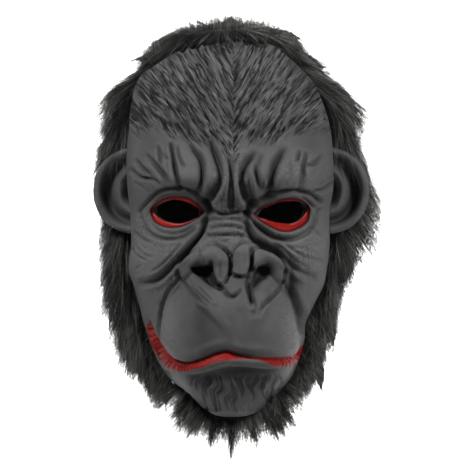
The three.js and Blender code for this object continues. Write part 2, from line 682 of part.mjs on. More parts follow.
const mask = new THREE.Group();
mask.add(pieceOf("face_shell", faceShell(), latex));
mask.add(pieceOf("ear_right", earSolid(-1).subtract(faceBlock(clearance)), latex));
mask.add(pieceOf("ear_left", earSolid(1).subtract(faceBlock(clearance)), latex));
mask.add(pieceOf("hood_lining", hoodLining(), cloth));
mask.add(pieceOf("hood_fur", hoodFur(), fur));
mask.add(pieceOf("beard_fur", beardFur(), fur));

export default mask;
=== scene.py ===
import math

import bpy
import numpy as np
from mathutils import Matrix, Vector, kdtree


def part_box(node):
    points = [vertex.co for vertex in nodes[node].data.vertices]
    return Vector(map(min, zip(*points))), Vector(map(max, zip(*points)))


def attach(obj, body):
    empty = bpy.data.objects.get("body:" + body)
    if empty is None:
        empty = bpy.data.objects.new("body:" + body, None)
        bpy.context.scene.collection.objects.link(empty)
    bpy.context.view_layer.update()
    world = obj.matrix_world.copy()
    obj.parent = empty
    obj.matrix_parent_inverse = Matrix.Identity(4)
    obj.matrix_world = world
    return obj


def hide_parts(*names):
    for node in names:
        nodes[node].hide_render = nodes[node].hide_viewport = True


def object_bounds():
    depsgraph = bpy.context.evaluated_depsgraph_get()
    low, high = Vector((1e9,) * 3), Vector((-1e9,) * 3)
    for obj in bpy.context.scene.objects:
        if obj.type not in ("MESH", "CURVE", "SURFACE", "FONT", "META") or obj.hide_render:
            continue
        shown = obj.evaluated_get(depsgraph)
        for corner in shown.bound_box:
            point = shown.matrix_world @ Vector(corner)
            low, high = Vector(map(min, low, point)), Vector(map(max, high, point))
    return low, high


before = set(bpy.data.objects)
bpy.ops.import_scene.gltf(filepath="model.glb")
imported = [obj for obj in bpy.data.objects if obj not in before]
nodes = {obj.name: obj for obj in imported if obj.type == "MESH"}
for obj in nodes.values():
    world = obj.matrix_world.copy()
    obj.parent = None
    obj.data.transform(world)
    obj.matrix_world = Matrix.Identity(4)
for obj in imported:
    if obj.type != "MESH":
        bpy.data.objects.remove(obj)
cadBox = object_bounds()
bpy.ops.object.select_all(action="DESELECT")

faceLow, faceHigh = [Vector(corner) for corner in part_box("face_shell")]
latexSize = dict(height=298, aboveEyes=134)  # in millimetres
mm = (faceHigh.z - faceLow.z) / latexSize["height"]
eyeLine = faceHigh.z - latexSize["aboveEyes"] * mm
rng = np.random.default_rng(7)
print("frame loaded, one millimetre is", round(mm, 6))

# how the photograph's pixels lie on the face, which looks straight at the camera: scale, distance and focus are
# in millimetres, and focus is how far in front of the head's middle the scale holds
photo = dict(middleColumn=231.0, eyeRow=212.0, scale=0.8, width=466, distance=1750, focus=80, sensor=36)


def onFace(px, py):
    return (px - photo["middleColumn"]) * photo["scale"], (photo["eyeRow"] - py) * photo["scale"]


lookX, lookUp = onFace(photo["width"] / 2, photo["width"] / 2)


def place(x, forward, up):  # where a point of the photograph lies, this far forward of the head's middle
    apart = (photo["distance"] + photo["focus"] - forward) / photo["distance"]
    across, height = lookX + (x - lookX) * apart, lookUp + (up - lookUp) * apart
    return np.stack([across * mm, -forward * mm, eyeLine + height * mm], axis=-1)


def tableOf(columns, *rows):  # a dictionary for each row; a short row has no value in the last column
    return [dict(zip(columns.split(), row)) for row in rows]


def smooth(value):
    value = np.clip(value, 0, 1)
    return value * value * (3 - 2 * value)


def ramp(value, start, end):  # 0 at the start, 1 at the end, smooth between them
    return smooth((value - start) / (end - start))


def along(values, position):  # a smooth curve through the values, read between them
    values = np.asarray(values, float)
    last = len(values) - 1
    i = np.clip(np.floor(position).astype(int), 0, last - 1)
    f = position - i
    a, b, c, d = values[np.maximum(i - 1, 0)], values[i], values[i + 1], values[np.minimum(i + 2, last)]
    if values.ndim > 1:
        f = f[..., None]
    return b + 0.5 * f * (c - a + f * (2 * a - 5 * b + 4 * c - d + f * (3 * (b - c) + d - a)))


def smoothPath(points, steps=7):  # photograph points as a smooth line in millimetres on the face
    line = along(points, np.linspace(0, len(points) - 1, steps * (len(points) - 1) + 1))
    return np.stack(onFace(line[:, 0], line[:, 1]), axis=-1)


def toSegment(x, up, start, end):  # share of the way along a segment nearest to a point, and the way left to it
    (ax, ay), (dx, dy) = start, end - start
    share = np.clip(((x - ax) * dx + (up - ay) * dy) / (dx * dx + dy * dy), 0, 1)
    return share, x - ax - share * dx, up - ay - share * dy


def nearest(path, x, up, reach):  # distance to a path, share of the way along it and side of it
    distance = np.full(x.shape, 1e3)
    share = np.zeros(x.shape)
    side = np.zeros(x.shape)
    low, high = path.min(0) - reach, path.max(0) + reach
    close = (x > low[0]) & (x < high[0]) & (up > low[1]) & (up < high[1])
    px, pu = x[close], up[close]
    best, where, turn = np.full(px.shape, 1e3), np.zeros(px.shape), np.zeros(px.shape)
    for i in range(len(path) - 1):
        dx, dy = path[i + 1] - path[i]
        f, ex, ey = toSegment(px, pu, path[i], path[i + 1])
        d = np.hypot(ex, ey)
        nearer = d < best
        best[nearer] = d[nearer]
        where[nearer] = (i + f[nearer]) / (len(path) - 1)
        turn[nearer] = np.sign(dx * ey[nearer] - dy * ex[nearer])
    distance[close], share[close], side[close] = best, where, turn
    return distance, share, side


def valueNoise(u, v, seed):  # smooth noise from -1 to 1 on a square lattice
    lattice = np.random.default_rng(seed).uniform(-1, 1, (64, 64))
    iu, iv = np.floor(u).astype(int), np.floor(v).astype(int)
    fu, fv = smooth(u - iu), smooth(v - iv)
    corner = [lattice[(iu + a) % 64, (iv + b) % 64] for a in (0, 1) for b in (0, 1)]
    low = corner[0] + (corner[1] - corner[0]) * fv
    high = corner[2] + (corner[3] - corner[2]) * fv
    return low + (high - low) * fu


def sideBySide(x, y, z):  # three coordinates, any of which can be one number for all
    return np.stack(np.broadcast_arrays(x, y, z), -1)


def unit(vectors):
    return vectors / np.maximum(np.linalg.norm(vectors, axis=-1, keepdims=True), 1e-12)


def gridNormals(points):  # rows run down, columns to the right as the camera sees them
    down = np.gradient(points, axis=0)
    right = np.gradient(points, axis=1)
    return unit(np.cross(down, right))


def gridQuads(rows, columns):  # the numbers of a grid's points, and its faces
    index = np.arange(rows * columns).reshape(rows, columns)
    corners = [index[:-1, :-1], index[1:, :-1], index[1:, 1:], index[:-1, 1:]]
    return index, np.stack(corners, -1).reshape(-1, 4)


def pointsOf(mesh):
    points = np.zeros(len(mesh.vertices) * 3)
    mesh.vertices.foreach_get("co", points)
    return points.reshape(-1, 3)


def trianglesOf(mesh):
    mesh.calc_loop_triangles()
    triangles = np.zeros(len(mesh.loop_triangles) * 3, np.int32)
    mesh.loop_triangles.foreach_get("vertices", triangles)
    return triangles.reshape(-1, 3)


def crossOf(corners):  # along each triangle's normal, twice its area long
    return np.cross(corners[:, 1] - corners[:, 0], corners[:, 2] - corners[:, 0])


def weld(piece, threshold, outward=False):
    bpy.ops.object.select_all(action="DESELECT")
    bpy.context.view_layer.objects.active = piece
    piece.select_set(True)
    bpy.ops.object.mode_set(mode="EDIT")
    bpy.ops.mesh.select_all(action="SELECT")
    bpy.ops.mesh.remove_doubles(threshold=threshold)
    if outward:
        bpy.ops.mesh.normals_make_consistent(inside=False)
    bpy.ops.object.mode_set(mode="OBJECT")


def newPiece(name, points, faces, body="root", replaces=()):
    mesh = bpy.data.meshes.new(name)
    sizes = np.array([len(face) for face in faces])
    mesh.vertices.add(len(points))
    mesh.vertices.foreach_set("co", np.asarray(points, np.float32).ravel())
    mesh.loops.add(int(sizes.sum()))
    mesh.loops.foreach_set("vertex_index", np.concatenate([np.asarray(f) for f in faces]).astype(np.int32))
    mesh.polygons.add(len(faces))
    starts = np.concatenate([[0], np.cumsum(sizes)[:-1]]).astype(np.int32)
    mesh.polygons.foreach_set("loop_start", starts)
    mesh.update(calc_edges=True)
    mesh.validate()
    piece = bpy.data.objects.new(name, mesh)
    bpy.context.collection.objects.link(piece)
    mesh.polygons.foreach_set("use_smooth", [True] * len(mesh.polygons))
    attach(piece, body)
    if replaces:
        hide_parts(*replaces)
    return piece


def addAttribute(piece, name, values):
    layer = piece.data.attributes.new(name, "FLOAT", "POINT")
    layer.data.foreach_set("value", np.asarray(values, np.float32).ravel())


def addUV(piece, name, coordinates):  # one pair for each vertex
    layer = piece.data.uv_layers.new(name=name)
    corners = np.zeros(len(piece.data.loops), np.int32)
    piece.data.loops.foreach_get("vertex_index", corners)
    layer.data.foreach_set("uv", np.asarray(coordinates, np.float32)[corners].ravel())


# shader wires: arithmetic on them adds Math nodes
class Wire:
    def __init__(self, finish, socket):
        self.finish = finish
        self.socket = socket

    def maths(self, operation, first, second):
        return self.finish.node("ShaderNodeMath", dict(operation=operation), {0: first, 1: second})

    def __add__(self, other):
        return self.maths("ADD", self, other)

    def __radd__(self, other):
        return self.maths("ADD", other, self)

    def __sub__(self, other):
        return self.maths("SUBTRACT", self, other)

    def __rsub__(self, other):
        return self.maths("SUBTRACT", other, self)

    def __mul__(self, other):
        return self.maths("MULTIPLY", self, other)


class Finish:
    def __init__(self, name):
        self.material = bpy.data.materials.new(name)
        self.material.use_nodes = True
        self.tree = self.material.node_tree
        self.tree.nodes.clear()

    def node(self, kind, settings=None, inputs=None, output=0):
        made = self.tree.nodes.new(kind)
        for key, value in (settings or {}).items():
            setattr(made, key, value)
        for key, value in (inputs or {}).items():
            if isinstance(value, Wire):
                self.tree.links.new(value.socket, made.inputs[key])
            else:
                made.inputs[key].default_value = value
        return Wire(self, made.outputs[output]) if len(made.outputs) else None

    def clamp(self, value):
        return self.node("ShaderNodeClamp", None, {"Value": value})

    def mix(self, share, first, second):
        return self.node("ShaderNodeMix", dict(data_type="RGBA"), {0: share, 6: first, 7: second}, output=2)

    def attribute(self, name):
        return self.node("ShaderNodeAttribute", dict(attribute_name=name), output="Fac")

    def noise(self, vector, scale, detail=3, roughness=0.6):
        inputs = {"Vector": vector, "Scale": scale, "Detail": detail, "Roughness": roughness}
        return self.node("ShaderNodeTexNoise", None, inputs, output="Fac")

    def where(self):  # a point's place on the object
        return self.node("ShaderNodeTexCoord", output="Object")

    def uv(self, name):
        return self.node("ShaderNodeUVMap", dict(uv_map=name))

    def stretched(self, vector, scale):
        return self.node("ShaderNodeMapping", None, {"Vector": vector, "Scale": scale})

    def bump(self, strength, distance, height):
        return self.node("ShaderNodeBump", None, {"Strength": strength, "Distance": distance, "Height": height})

    def surface(self, **inputs):
        values = {name.replace("_", " "): value for name, value in inputs.items()}
        shader = self.node("ShaderNodeBsdfPrincipled", None, values)
        self.node("ShaderNodeOutputMaterial", None, {"Surface": shader})
        return self.material


# the latex face: level sections from its top edge down, in millimetres from the eye line and the head's middle.
# up and end are the heights of a section's middle and ends, right and left are the wearer's
faceShape = dict(
    rows=300,
    columns=250,
    innerStep=4,  # the inner wall has one row and column for this many outside
    wall=2.2,
    ragged=1.9,
    outerSnap=0.62,
    innerSnap=2.4,
    squareness=2.5,
    muzzleSquareness=2.8,
    muzzleRoot=49,
    muzzleBlend=10,
    sections=tableOf(
        "up end right left front side muzzle muzzleHalf",
        (134, 129, 41, 39, 54, 46, 61, 26),
        (129, 122, 54, 48, 67, 45, 61, 26),
        (117, 106, 74, 64, 82, 43, 61, 26),
        (94, 86, 80, 74, 94, 40, 61, 26),
        (67, 64, 82, 80, 101, 38, 61, 26),
        (43, 41, 84, 82, 105, 36, 61, 26),
        (20, 20, 83, 82, 106, 35, 61, 26),
        (0, 0, 81, 79, 105, 35, 72, 26),
        (-25, -25, 80, 79, 105, 36, 95, 28),
        (-46, -45, 82, 77, 106, 36, 114, 34),
        (-61, -59, 78, 74, 106, 37, 134, 43),
        (-75, -73, 74, 67, 105, 38, 147, 52),
        (-92, -88, 70, 60, 101, 41, 155, 56),
        (-110, -103, 65, 58.5, 97, 43, 157, 57),
        (-128, -119, 58, 54, 93, 46, 150, 54),
        (-144, -132, 50, 48, 86, 49, 134, 45),
        (-156, -142, 37, 40, 79, 51, 114, 34),
        (-162.4, -148.4, 30, 34, 72, 54, 97, 25),
        (-164, -151.7, 25.5, 30, 67, 56, 82, 19),
    ),
)

# soft masses, at places and with radii in photograph pixels; rise is in millimetres and lean in degrees
faceMasses = tableOf(
    "name at wide tall lean rise",
    ("browRight", (178, 180), 37, 20, 0, 14),
    ("browLeft", (284, 179), 36, 20, 0, 15),
    ("glabella", (231, 183), 26, 24, 0, 10),
    ("socketRight", (177, 211), 37, 16, -1, -17),
    ("socketLeft", (283, 211), 37, 16, 5, -18),
    ("eyeballRight", (177, 212), 29, 15, -1, 7),
    ("eyeballLeft", (283, 212), 30, 15, 5, 7),
    ("cheekRight", (160, 252), 27, 27, 0, 7),
    ("cheekLeft", (303, 254), 25, 26, 0, 9),
    ("bridge", (229, 224), 17, 26, 0, 9),
    ("noseMound", (231, 263), 46, 28, 0, 9),
    ("lipHollowRight", (197, 321), 12, 20, -28, -3.4),
    ("lipHollowLeft", (248, 324), 12, 17, 20, -2.5),
    ("templeRight", (140, 140), 20, 30, 0, -2),
    ("templeLeft", (320, 140), 20, 30, 0, -2),
)

# rounded rolls: half width in pixels and rise in millimetres, each at the start and the end, and the line in
# photograph points
faceRolls = tableOf(
    "name width rise path",
    ("bulbRightTop", (8, 9), (7, 9), [(202, 255), (210, 252), (217, 254), (221, 260)]),
    ("bulbRight", (9.5, 7), (9, 8.5), [(220, 259), (221, 270), (220, 279)]),
    ("wingRightTop", (9, 6.5), (7.5, 6), [(208, 257), (199, 258), (192, 262), (187.5, 267), (187, 274)]),
    ("wingRightLow", (6.5, 5), (6, 2), [(187, 273), (194, 283), (204, 293), (214, 302)]),
    ("bulbLeft", (12.5, 12), (11, 9.5), [(240.5, 253), (240.5, 260), (240.5, 267)]),
    ("wingLeft", (10, 5), (9, 2.5), [(258, 261), (264, 258), (271, 260), (275, 266), (275.5, 273), (272, 281),
     (266, 290), (260, 299), (256, 309)]),
    ("columella", (9.5, 9.5), (5.5, 5), [(230, 281), (236, 286)]),
    ("philtrumKnob", (6, 5), (2, 1), [(240, 297), (240, 305)]),
    ("philtrumRight", (5, 5), (2.6, 1.2), [(202, 303), (214, 314), (225, 326), (229, 338)]),
    ("philtrumLeft", (7, 8), (2.5, 1), [(262, 309), (255, 322), (247, 336)]),
    ("padRight", (6, 8), (1, 4), [(222, 168), (222, 190), (220, 206)]),
    ("padLeft", (5, 6), (1, 3.5), [(237, 170), (237, 190), (238, 203)]),
    ("lowerLip", (6, 6), (3, 4), [(149, 345), (160, 365), (180, 377), (203, 371), (228, 364), (260, 363),
     (282, 367), (298, 366)]),
)

# creases: depth in millimetres, half width in pixels, the line in photograph points, and the end's half width
# where it differs
faceFolds = tableOf(
    "name depth width path endWidth",
    ("browA", 5, 2.6, [(192, 149), (200, 159), (202, 170), (201, 183), (198, 192)]),
    ("browB", 7, 3.2, [(211, 146), (217.5, 161), (220, 175), (216.5, 188), (208, 200)]),
    ("browC", 5.5, 2.6, [(228, 157), (231, 168), (231.5, 189), (231, 209)]),
    ("browD", 7, 3.4, [(254, 156), (245.5, 164.5), (242, 180), (246, 196), (251, 203)]),
    ("browDInner", 3, 1.8, [(249, 172), (250, 187), (253, 199)]),
    ("browE", 4.5, 2.5, [(262, 158), (256, 167), (257.5, 177), (262, 189)]),
    ("browF", 7, 3.6, [(283, 153), (276, 163), (273, 174), (271, 184), (268, 194)]),
    ("browG", 3, 1.8, [(300, 153), (298, 161)]),
    ("browH", 4.5, 2.2, [(306, 156), (304, 166), (303.5, 176), (299, 188)]),
    ("browI", 3, 1.8, [(306, 165), (314, 164), (321, 157)]),
    ("browJ", 3.5, 2.0, [(332, 183), (325, 189), (314, 192)]),
    ("browK", 1.8, 1.4, [(333, 176), (326, 182), (318, 186)]),
    ("browMark", 1.2, 2.2, [(292, 163), (293.5, 178)]),
    ("browL", 5, 2.0, [(171, 146), (173.5, 161), (176, 175), (180, 187)]),
    ("browM", 2.6, 1.6, [(177, 148), (179, 158), (184, 166)]),
    ("browN", 4, 2.0, [(148, 157), (158, 168), (164, 176), (168, 184)]),
    ("browO", 3.4, 1.8, [(136, 161), (143, 169), (152, 176)]),
    ("browP", 3.4, 1.8, [(131, 170), (140, 177), (152, 179.5), (159, 185)]),
    ("browQ", 2.6, 1.5, [(158, 148), (160, 156), (159.5, 165)]),
    ("browR", 1.6, 1.4, [(163, 155), (169, 160)]),
    ("browS", 1.4, 1.2, [(135, 183), (142, 187), (146, 191)]),
    ("upperLidRight", 3.6, 1.6, [(139, 212), (148, 202), (158, 192.5), (168, 189.2), (180, 189), (190, 191),
     (200, 197), (206, 203)]),
    ("upperLidInnerRight", 1.6, 1.0, [(147, 209), (154, 201.5), (163, 196), (174, 194), (185, 194.6),
     (194, 198)]),
    ("lowerLidRight", 3.4, 1.7, [(140.4, 213), (142, 221), (148, 231.5), (157, 237.5), (168.5, 239), (182, 237),
     (195, 230)]),
    ("lowerLidInnerRight", 1.8, 1.0, [(148, 214), (151, 221.5), (156, 228), (165, 233), (175, 234),
     (186, 230.5), (196, 223)]),
    ("upperLidLeft", 4.4, 2.0, [(253, 202), (265.5, 198), (272, 195), (279, 192.6), (294, 191.6), (304, 192.4),
     (313, 196), (321, 203)]),
    ("upperLidInnerLeft", 3, 1.2, [(302, 197), (308, 201), (314, 208)]),
    ("lowerLidLeft", 4, 2.0, [(247, 213), (253, 221), (259, 227), (265.5, 232), (272, 236), (279, 238.2),
     (288, 239.6), (297.4, 237.4), (304, 234.4), (309, 230.6), (313.5, 224), (317.4, 216), (318.6, 210)]),
    ("cornerRight", 6, 3, [(201, 202), (207, 206), (208, 213)]),
    ("cornerLeft", 6, 3, [(254, 205), (249, 209), (249, 214)]),
    ("cheekFoldRight", 7, 1.9, [(207, 219), (203, 230), (196, 240), (187, 250), (176, 261), (166, 272),
     (156, 280), (144, 283)], 3),
    ("cheekFoldLeft", 6, 2.1, [(245, 214), (248, 228), (254, 239), (265, 246), (277, 251), (287, 260),
     (298, 270), (314, 277)], 3.6),
    ("cheekLineA", 2.2, 1.3, [(270, 241), (283, 249), (295, 260), (307, 267)]),
    ("cheekLineB", 2.2, 1.3, [(281, 242), (293, 250), (306, 257), (322, 261)]),
    ("cheekLineC", 1.2, 1.2, [(270, 238), (281, 243)]),
    ("cheekLineD", 1.4, 1.1, [(292, 248), (307, 247), (321, 241)]),
    ("cheekLineE", 1.6, 1.1, [(312, 226), (317, 233), (322, 237)]),
    ("cheekLineF", 2.4, 1.4, [(135, 232), (142, 239), (151, 243)]),
    ("cheekLineG", 2.4, 1.4, [(131, 248), (137, 256), (146, 260)]),
    ("cheekLineH", 2, 1.2, [(136, 247), (144, 255), (153, 257)]),
    ("cheekLineI", 2.4, 1.3, [(180, 246), (171, 256), (161, 266), (153, 271)]),
    ("cheekLineJ", 1.4, 1.1, [(136, 269), (142, 265)]),
    ("muzzleCreaseRight", 3, 1.7, [(179, 280), (169, 291), (163, 304), (160, 320), (159.5, 338)], 1.2),
    ("muzzleCreaseLeft", 5, 3.2, [(284, 284), (293, 298), (299, 312), (302, 330)]),
    ("bridgeA", 3.5, 1.6, [(210, 206), (214, 212), (224, 214.5), (240, 212), (249, 213)]),
    ("bridgeB", 2.4, 1.3, [(209, 221), (222, 219), (236, 219.5), (246, 222)]),
    ("bridgeC", 2.4, 1.3, [(210, 229), (222, 226.5), (236, 227), (247, 231)]),
    ("bridgeD", 2.6, 1.4, [(207, 236), (222, 235.5), (237, 235), (249, 238)]),
    ("bulbArchRight", 4.5, 1.4, [(203, 246), (213, 243.8), (220, 246), (225.6, 250), (229.4, 255.3),
     (230.8, 262), (230.4, 269), (228.6, 276), (225, 283)]),
    ("bulbSplit", 1.4, 1.4, [(220.4, 262), (219.6, 270), (220.4, 278)]),
    ("bulbSide", 3, 1.8, [(211.5, 263), (211, 272), (215, 281), (222, 288)]),
    ("wingNick", 1.6, 1.2, [(199.5, 250), (199, 254), (200, 259)]),
    ("bulbArchLeft", 3.4, 1.4, [(231.5, 258), (233, 250), (238.2, 244.6), (245, 242), (252, 244.6)]),
    ("bulbUnder", 3.4, 1.5, [(231, 273), (235, 276), (242, 277.4), (249, 275.6)]),
    ("bulbSideLeft", 5, 1.6, [(251.6, 249), (252, 258), (251.6, 267), (250, 275)]),
    ("columellaUnder", 2.0, 1.8, [(222, 289), (226, 294), (232, 297.8), (238, 294), (243, 288)]),
    ("bowlLeftDeep", 4.5, 2.6, [(250.5, 272), (249, 281), (249.4, 290), (251, 298), (251, 305)], 2.0),
    ("wingEdgeLeft", 3.0, 1.7, [(253, 250), (262.3, 247), (273, 248.6), (281.5, 254.6), (285.5, 262.4),
     (286.4, 271), (284, 280), (278.5, 290), (270, 299), (263, 306), (258, 315)]),
    ("wingEdgeRight", 2.6, 1.5, [(202, 248.6), (192, 251.6), (184, 256.6), (179, 264), (178, 272), (181, 280),
     (192, 292.6), (206, 305)]),
    ("wingShadeLeft", 5, 5, [(288, 270), (292, 280), (292, 292)], 4),
    ("lipLineRight", 1.5, 1.1, [(197, 285), (205, 293), (213.2, 301)]),
    ("lipLineOuter", 1.0, 1.0, [(190, 286), (199, 294), (208, 302)]),
    ("wingTailLeft", 2.5, 1.8, [(252, 297), (256, 306), (253, 316)]),
    ("lipNotch", 1.0, 4, [(229, 325), (230, 345)]),
    ("underLip", 3, 4, [(168, 372), (200, 376), (235, 370), (270, 371), (296, 366)]),
)

# the mouth, from the wearer's right corner to the left one
mouth = dict(
    depth=4.5,
    width=1.6,
    rollRise=1.3,  # both lips swell beside the groove, this high, this far away and this wide
    rollAway=6.5,
    rollWidth=3.2,
    notchDepth=1.1,
    path=[(150, 321), (152, 331), (159, 344), (165, 353), (172, 360), (180, 363), (188, 363.5), (199, 360.5),
        (207, 357.3), (216, 354), (226, 351.8), (236, 354.6), (250, 357), (262, 358.6), (275, 359.6),
        (288, 359.2), (296, 356.6), (301, 350.6), (303.6, 344)],
    paint=[(146, 324), (151.5, 325), (153.5, 333), (159.8, 343.6), (165, 352.6), (172, 359.6), (180, 362.6),
        (187, 363.4), (199, 360.6), (207, 357.4), (216, 354), (224.5, 352), (228, 351.2), (232.6, 353.2),
        (239, 355.4), (250, 356), (262, 356.4), (273, 356.8), (284, 356), (293.4, 353.6), (299, 350),
        (302.6, 345.4), (305, 346.5), (304.4, 351), (301.5, 357), (299, 361), (295.6, 365), (288.8, 367.4),
        (279.6, 367.6), (273, 366.2), (268, 363.6), (261.3, 361.2), (256.7, 359.6), (250, 359.6), (238, 359.8),
        (227, 361), (217.7, 362.6), (211, 364.8), (204, 367.4), (194.7, 369.6), (187.8, 371.4), (181, 372.4),
        (174, 372), (168.3, 368), (163, 363), (157.4, 355), (151.6, 345), (148, 334)],
)

# eye holes: their outline, then the outline of the red rim, as photograph points round the eye
eyes = dict(
    right=dict(
        hole=[(153.3, 209.5), (160, 203.7), (168.4, 200.6), (177, 200), (185, 201.8), (195, 206), (203, 212.2),
            (198, 216.6), (188.2, 221.4), (177, 223.5), (164.3, 220.7), (155.5, 215)],
        rim=[(149.8, 209.4), (156.6, 202), (164.3, 197.4), (174, 195.6), (184.6, 196.2), (193, 199),
            (199.5, 204.6), (204.6, 211), (200.8, 216.8), (191.7, 222.8), (183, 226.6), (174, 228.4),
            (164.3, 227.4), (155.6, 223.6), (151.4, 217.6)],
    ),
    left=dict(
        hole=[(254.3, 213.6), (259.1, 209.6), (265.5, 207.8), (272, 205.2), (278.3, 202.4), (284.6, 201.4),
            (291, 201.2), (297.4, 201.4), (303.6, 202.8), (307.6, 206.6), (305.9, 212.5), (302.5, 217),
            (297.4, 221.3), (290, 223.6), (282, 223), (273.2, 221.6), (265, 219), (257.5, 216.6)],
        rim=[(252.6, 213.6), (259, 207.4), (264.2, 204.8), (270.6, 202), (278.3, 199.1), (284.6, 197.4),
            (291, 197.2), (297.4, 197.9), (303.8, 200.2), (308.9, 205.4), (310.4, 210), (310, 215.7),
            (308.2, 221.4), (304.4, 225.6), (298.7, 229.1), (292.3, 231.7), (286, 232.6), (279.5, 231.8),
            (273.2, 229.1), (266.8, 225.9), (261, 222.4), (255.4, 218.3)],
    ),
)
eyeRim = dict(rise=2.4, outside=1.2, width=2.2, dip=2.2)  # in millimetres

# hollows: depth and the width of the sloping edge in millimetres, and the outline in photograph points
faceHollows = tableOf(
    "name depth edge outline",
    ("nostrilRight", 9, 4.5, [(190, 268.6), (200, 266), (210.6, 265), (212, 273), (216, 282), (223.4, 288.6),
     (219.4, 292), (210, 286.6), (200, 279)]),
    ("nostrilLeft", 5.5, 7, [(254, 268), (260, 264), (267, 264), (271, 268), (269, 276), (263, 284), (257, 293),
     (251, 299), (248, 290), (249, 277)]),
)

# patches of painted shade, or of painted highlight where dark is negative, in photograph points
faceShades = tableOf(
    "name at wide tall dark",
    ("muzzleRight", (201, 324), 15, 26, 0.7),
    ("muzzleMiddle", (238, 332), 36, 24, 0.36),
    ("lipUnder", (240, 374), 60, 8, 0.5),
    ("noseSides", (228, 272), 42, 20, 0.3),
    ("foreheadMiddle", (255, 95), 50, 40, 0.1),
    ("cheekRight", (152, 254), 26, 34, -0.42),
    ("cheekLeft", (308, 250), 26, 34, -0.5),
    ("muzzleLeft", (289, 328), 16, 32, -0.4),
    ("muzzleSide", (168, 322), 12, 34, -0.35),
    ("browLeft", (305, 175), 26, 18, -0.22),
    ("browMiddle", (231, 180), 18, 28, -0.35),
    ("bridge", (228, 230), 20, 18, -0.3),
)


def shadeOf(x, up):
    shade = np.zeros_like(x)
    for patch in faceShades:
        cx, cy = onFace(*patch["at"])
        u, v = (x - cx) / (patch["wide"] * photo["scale"]), (up - cy) / (patch["tall"] * photo["scale"])
        shade += patch["dark"] * np.exp(-u * u - v * v)
    return shade


def closedPath(points, steps=6):
    looped = [points[-1]] + list(points) + list(points[:2])
    count = len(points)
    line = along(looped, np.linspace(1, count + 1, steps * count + 1))
    return np.stack(onFace(line[:, 0], line[:, 1]), axis=-1)


def insideOf(path, x, up):  # how far a point lies inside a closed path, negative outside
    distance, _, _ = nearest(path, x, up, 40)
    within = np.zeros(x.shape, bool)
    for (ax, ay), (bx, by) in zip(path[:-1], path[1:]):
        crosses = (ay > up) != (by > up)
        within ^= crosses & (x < (bx - ax) * (up - ay) / (by - ay + 1e-12) + ax)
    return np.where(within, distance, -distance)


def sectionAt(t):
    table = faceShape["sections"]
    position = t * (len(table) - 1)
    return {key: along([row[key] for row in table], position) for key in table[0]}


def plainForm(t, s):  # the face with its muzzle and nothing else: across, forward and up
    section = sectionAt(t)
    turn = np.sin(s * math.pi / 2)
    width = np.abs(turn)
    roundness = np.clip(1 - width ** faceShape["squareness"], 0, 1) ** (1 / faceShape["squareness"])
    x = np.where(turn < 0, section["right"], section["left"]) * turn
    up = section["up"] + (section["end"] - section["up"]) * width ** 3
    forward = section["side"] + (section["front"] - section["side"]) * roundness
    out = np.clip(np.abs(x + 1) / section["muzzleHalf"], 0, 1)
    wall = (1 - out ** faceShape["muzzleSquareness"]) ** (1 / faceShape["muzzleSquareness"])
    lift = faceShape["muzzleRoot"] + (section["muzzle"] - faceShape["muzzleRoot"]) * wall - forward
    blend = faceShape["muzzleBlend"]
    eased = np.where(lift > blend, lift, np.where(lift < -blend, 0, (lift + blend) ** 2 / (4 * blend)))
    return x, forward + np.where(out < 1, eased, 0), up


def evenStops(line, count, weight):  # equal steps along a bent line, closer where the weight is higher
    steps = np.linalg.norm(np.diff(line, axis=0), axis=-1) * weight
    length = np.concatenate([[0], np.cumsum(steps)])
    return np.interp(np.linspace(0, length[-1], count), length, np.linspace(0, 1, len(line)))


def faceStops():
    fine = np.linspace(0, 1, 900)
    x, forward, up = plainForm(fine, np.full(900, 0.2))
    line = np.stack([x, forward, up], -1)
    middle = (up[1:] + up[:-1]) / 2
    weight = 0.6 + 0.4 * ramp(middle, 150, 130) * ramp(middle, -158, -146)
    rows = evenStops(line, faceShape["rows"], weight)
    t = np.repeat(rows[:, None], faceShape["columns"], 1)
    s = np.zeros_like(t)
    fineAcross = np.linspace(-1, 1, 700)
    for j, row in enumerate(rows):
        x, forward, up = plainForm(np.full(700, row), fineAcross)
        line = np.stack([x, forward, up], -1)
        outward = np.abs((line[1:, 0] + line[:-1, 0]) / 2)
        deep = (line[1:, 1] + line[:-1, 1]) / 2
        weight = 1 - 0.55 * ramp(deep, 70, 40) + 0.15 * ramp(outward, 60, 40)
        s[j] = evenStops(line, faceShape["columns"], weight) * 2 - 1
    return t, s


def forwardForms(x, up):  # how far brow, sockets, cheeks, nose and lips stand forward, in millimetres
    rise = np.zeros_like(x)
    for mass in faceMasses:
        cx, cy = onFace(*mass["at"])
        lean = math.radians(mass["lean"])
        dx, dy = x - cx, up - cy
        u = (dx * math.cos(lean) + dy * math.sin(lean)) / (mass["wide"] * photo["scale"])
        v = (-dx * math.sin(lean) + dy * math.cos(lean)) / (mass["tall"] * photo["scale"])
        rise += mass["rise"] * np.exp(-u * u - v * v)
    rolls = np.zeros_like(x)
    for roll in faceRolls:
        path = smoothPath(roll["path"])
        distance, share, _ = nearest(path, x, up, 16)
        width = (roll["width"][0] + (roll["width"][1] - roll["width"][0]) * share) * photo["scale"]
        height = roll["rise"][0] + (roll["rise"][1] - roll["rise"][0]) * share
        dome = np.clip(1 - (distance / (width * 1.45)) ** 2, 0, 1) ** 1.6
        rolls += (height * dome) ** 4
    return rise + rolls ** 0.25


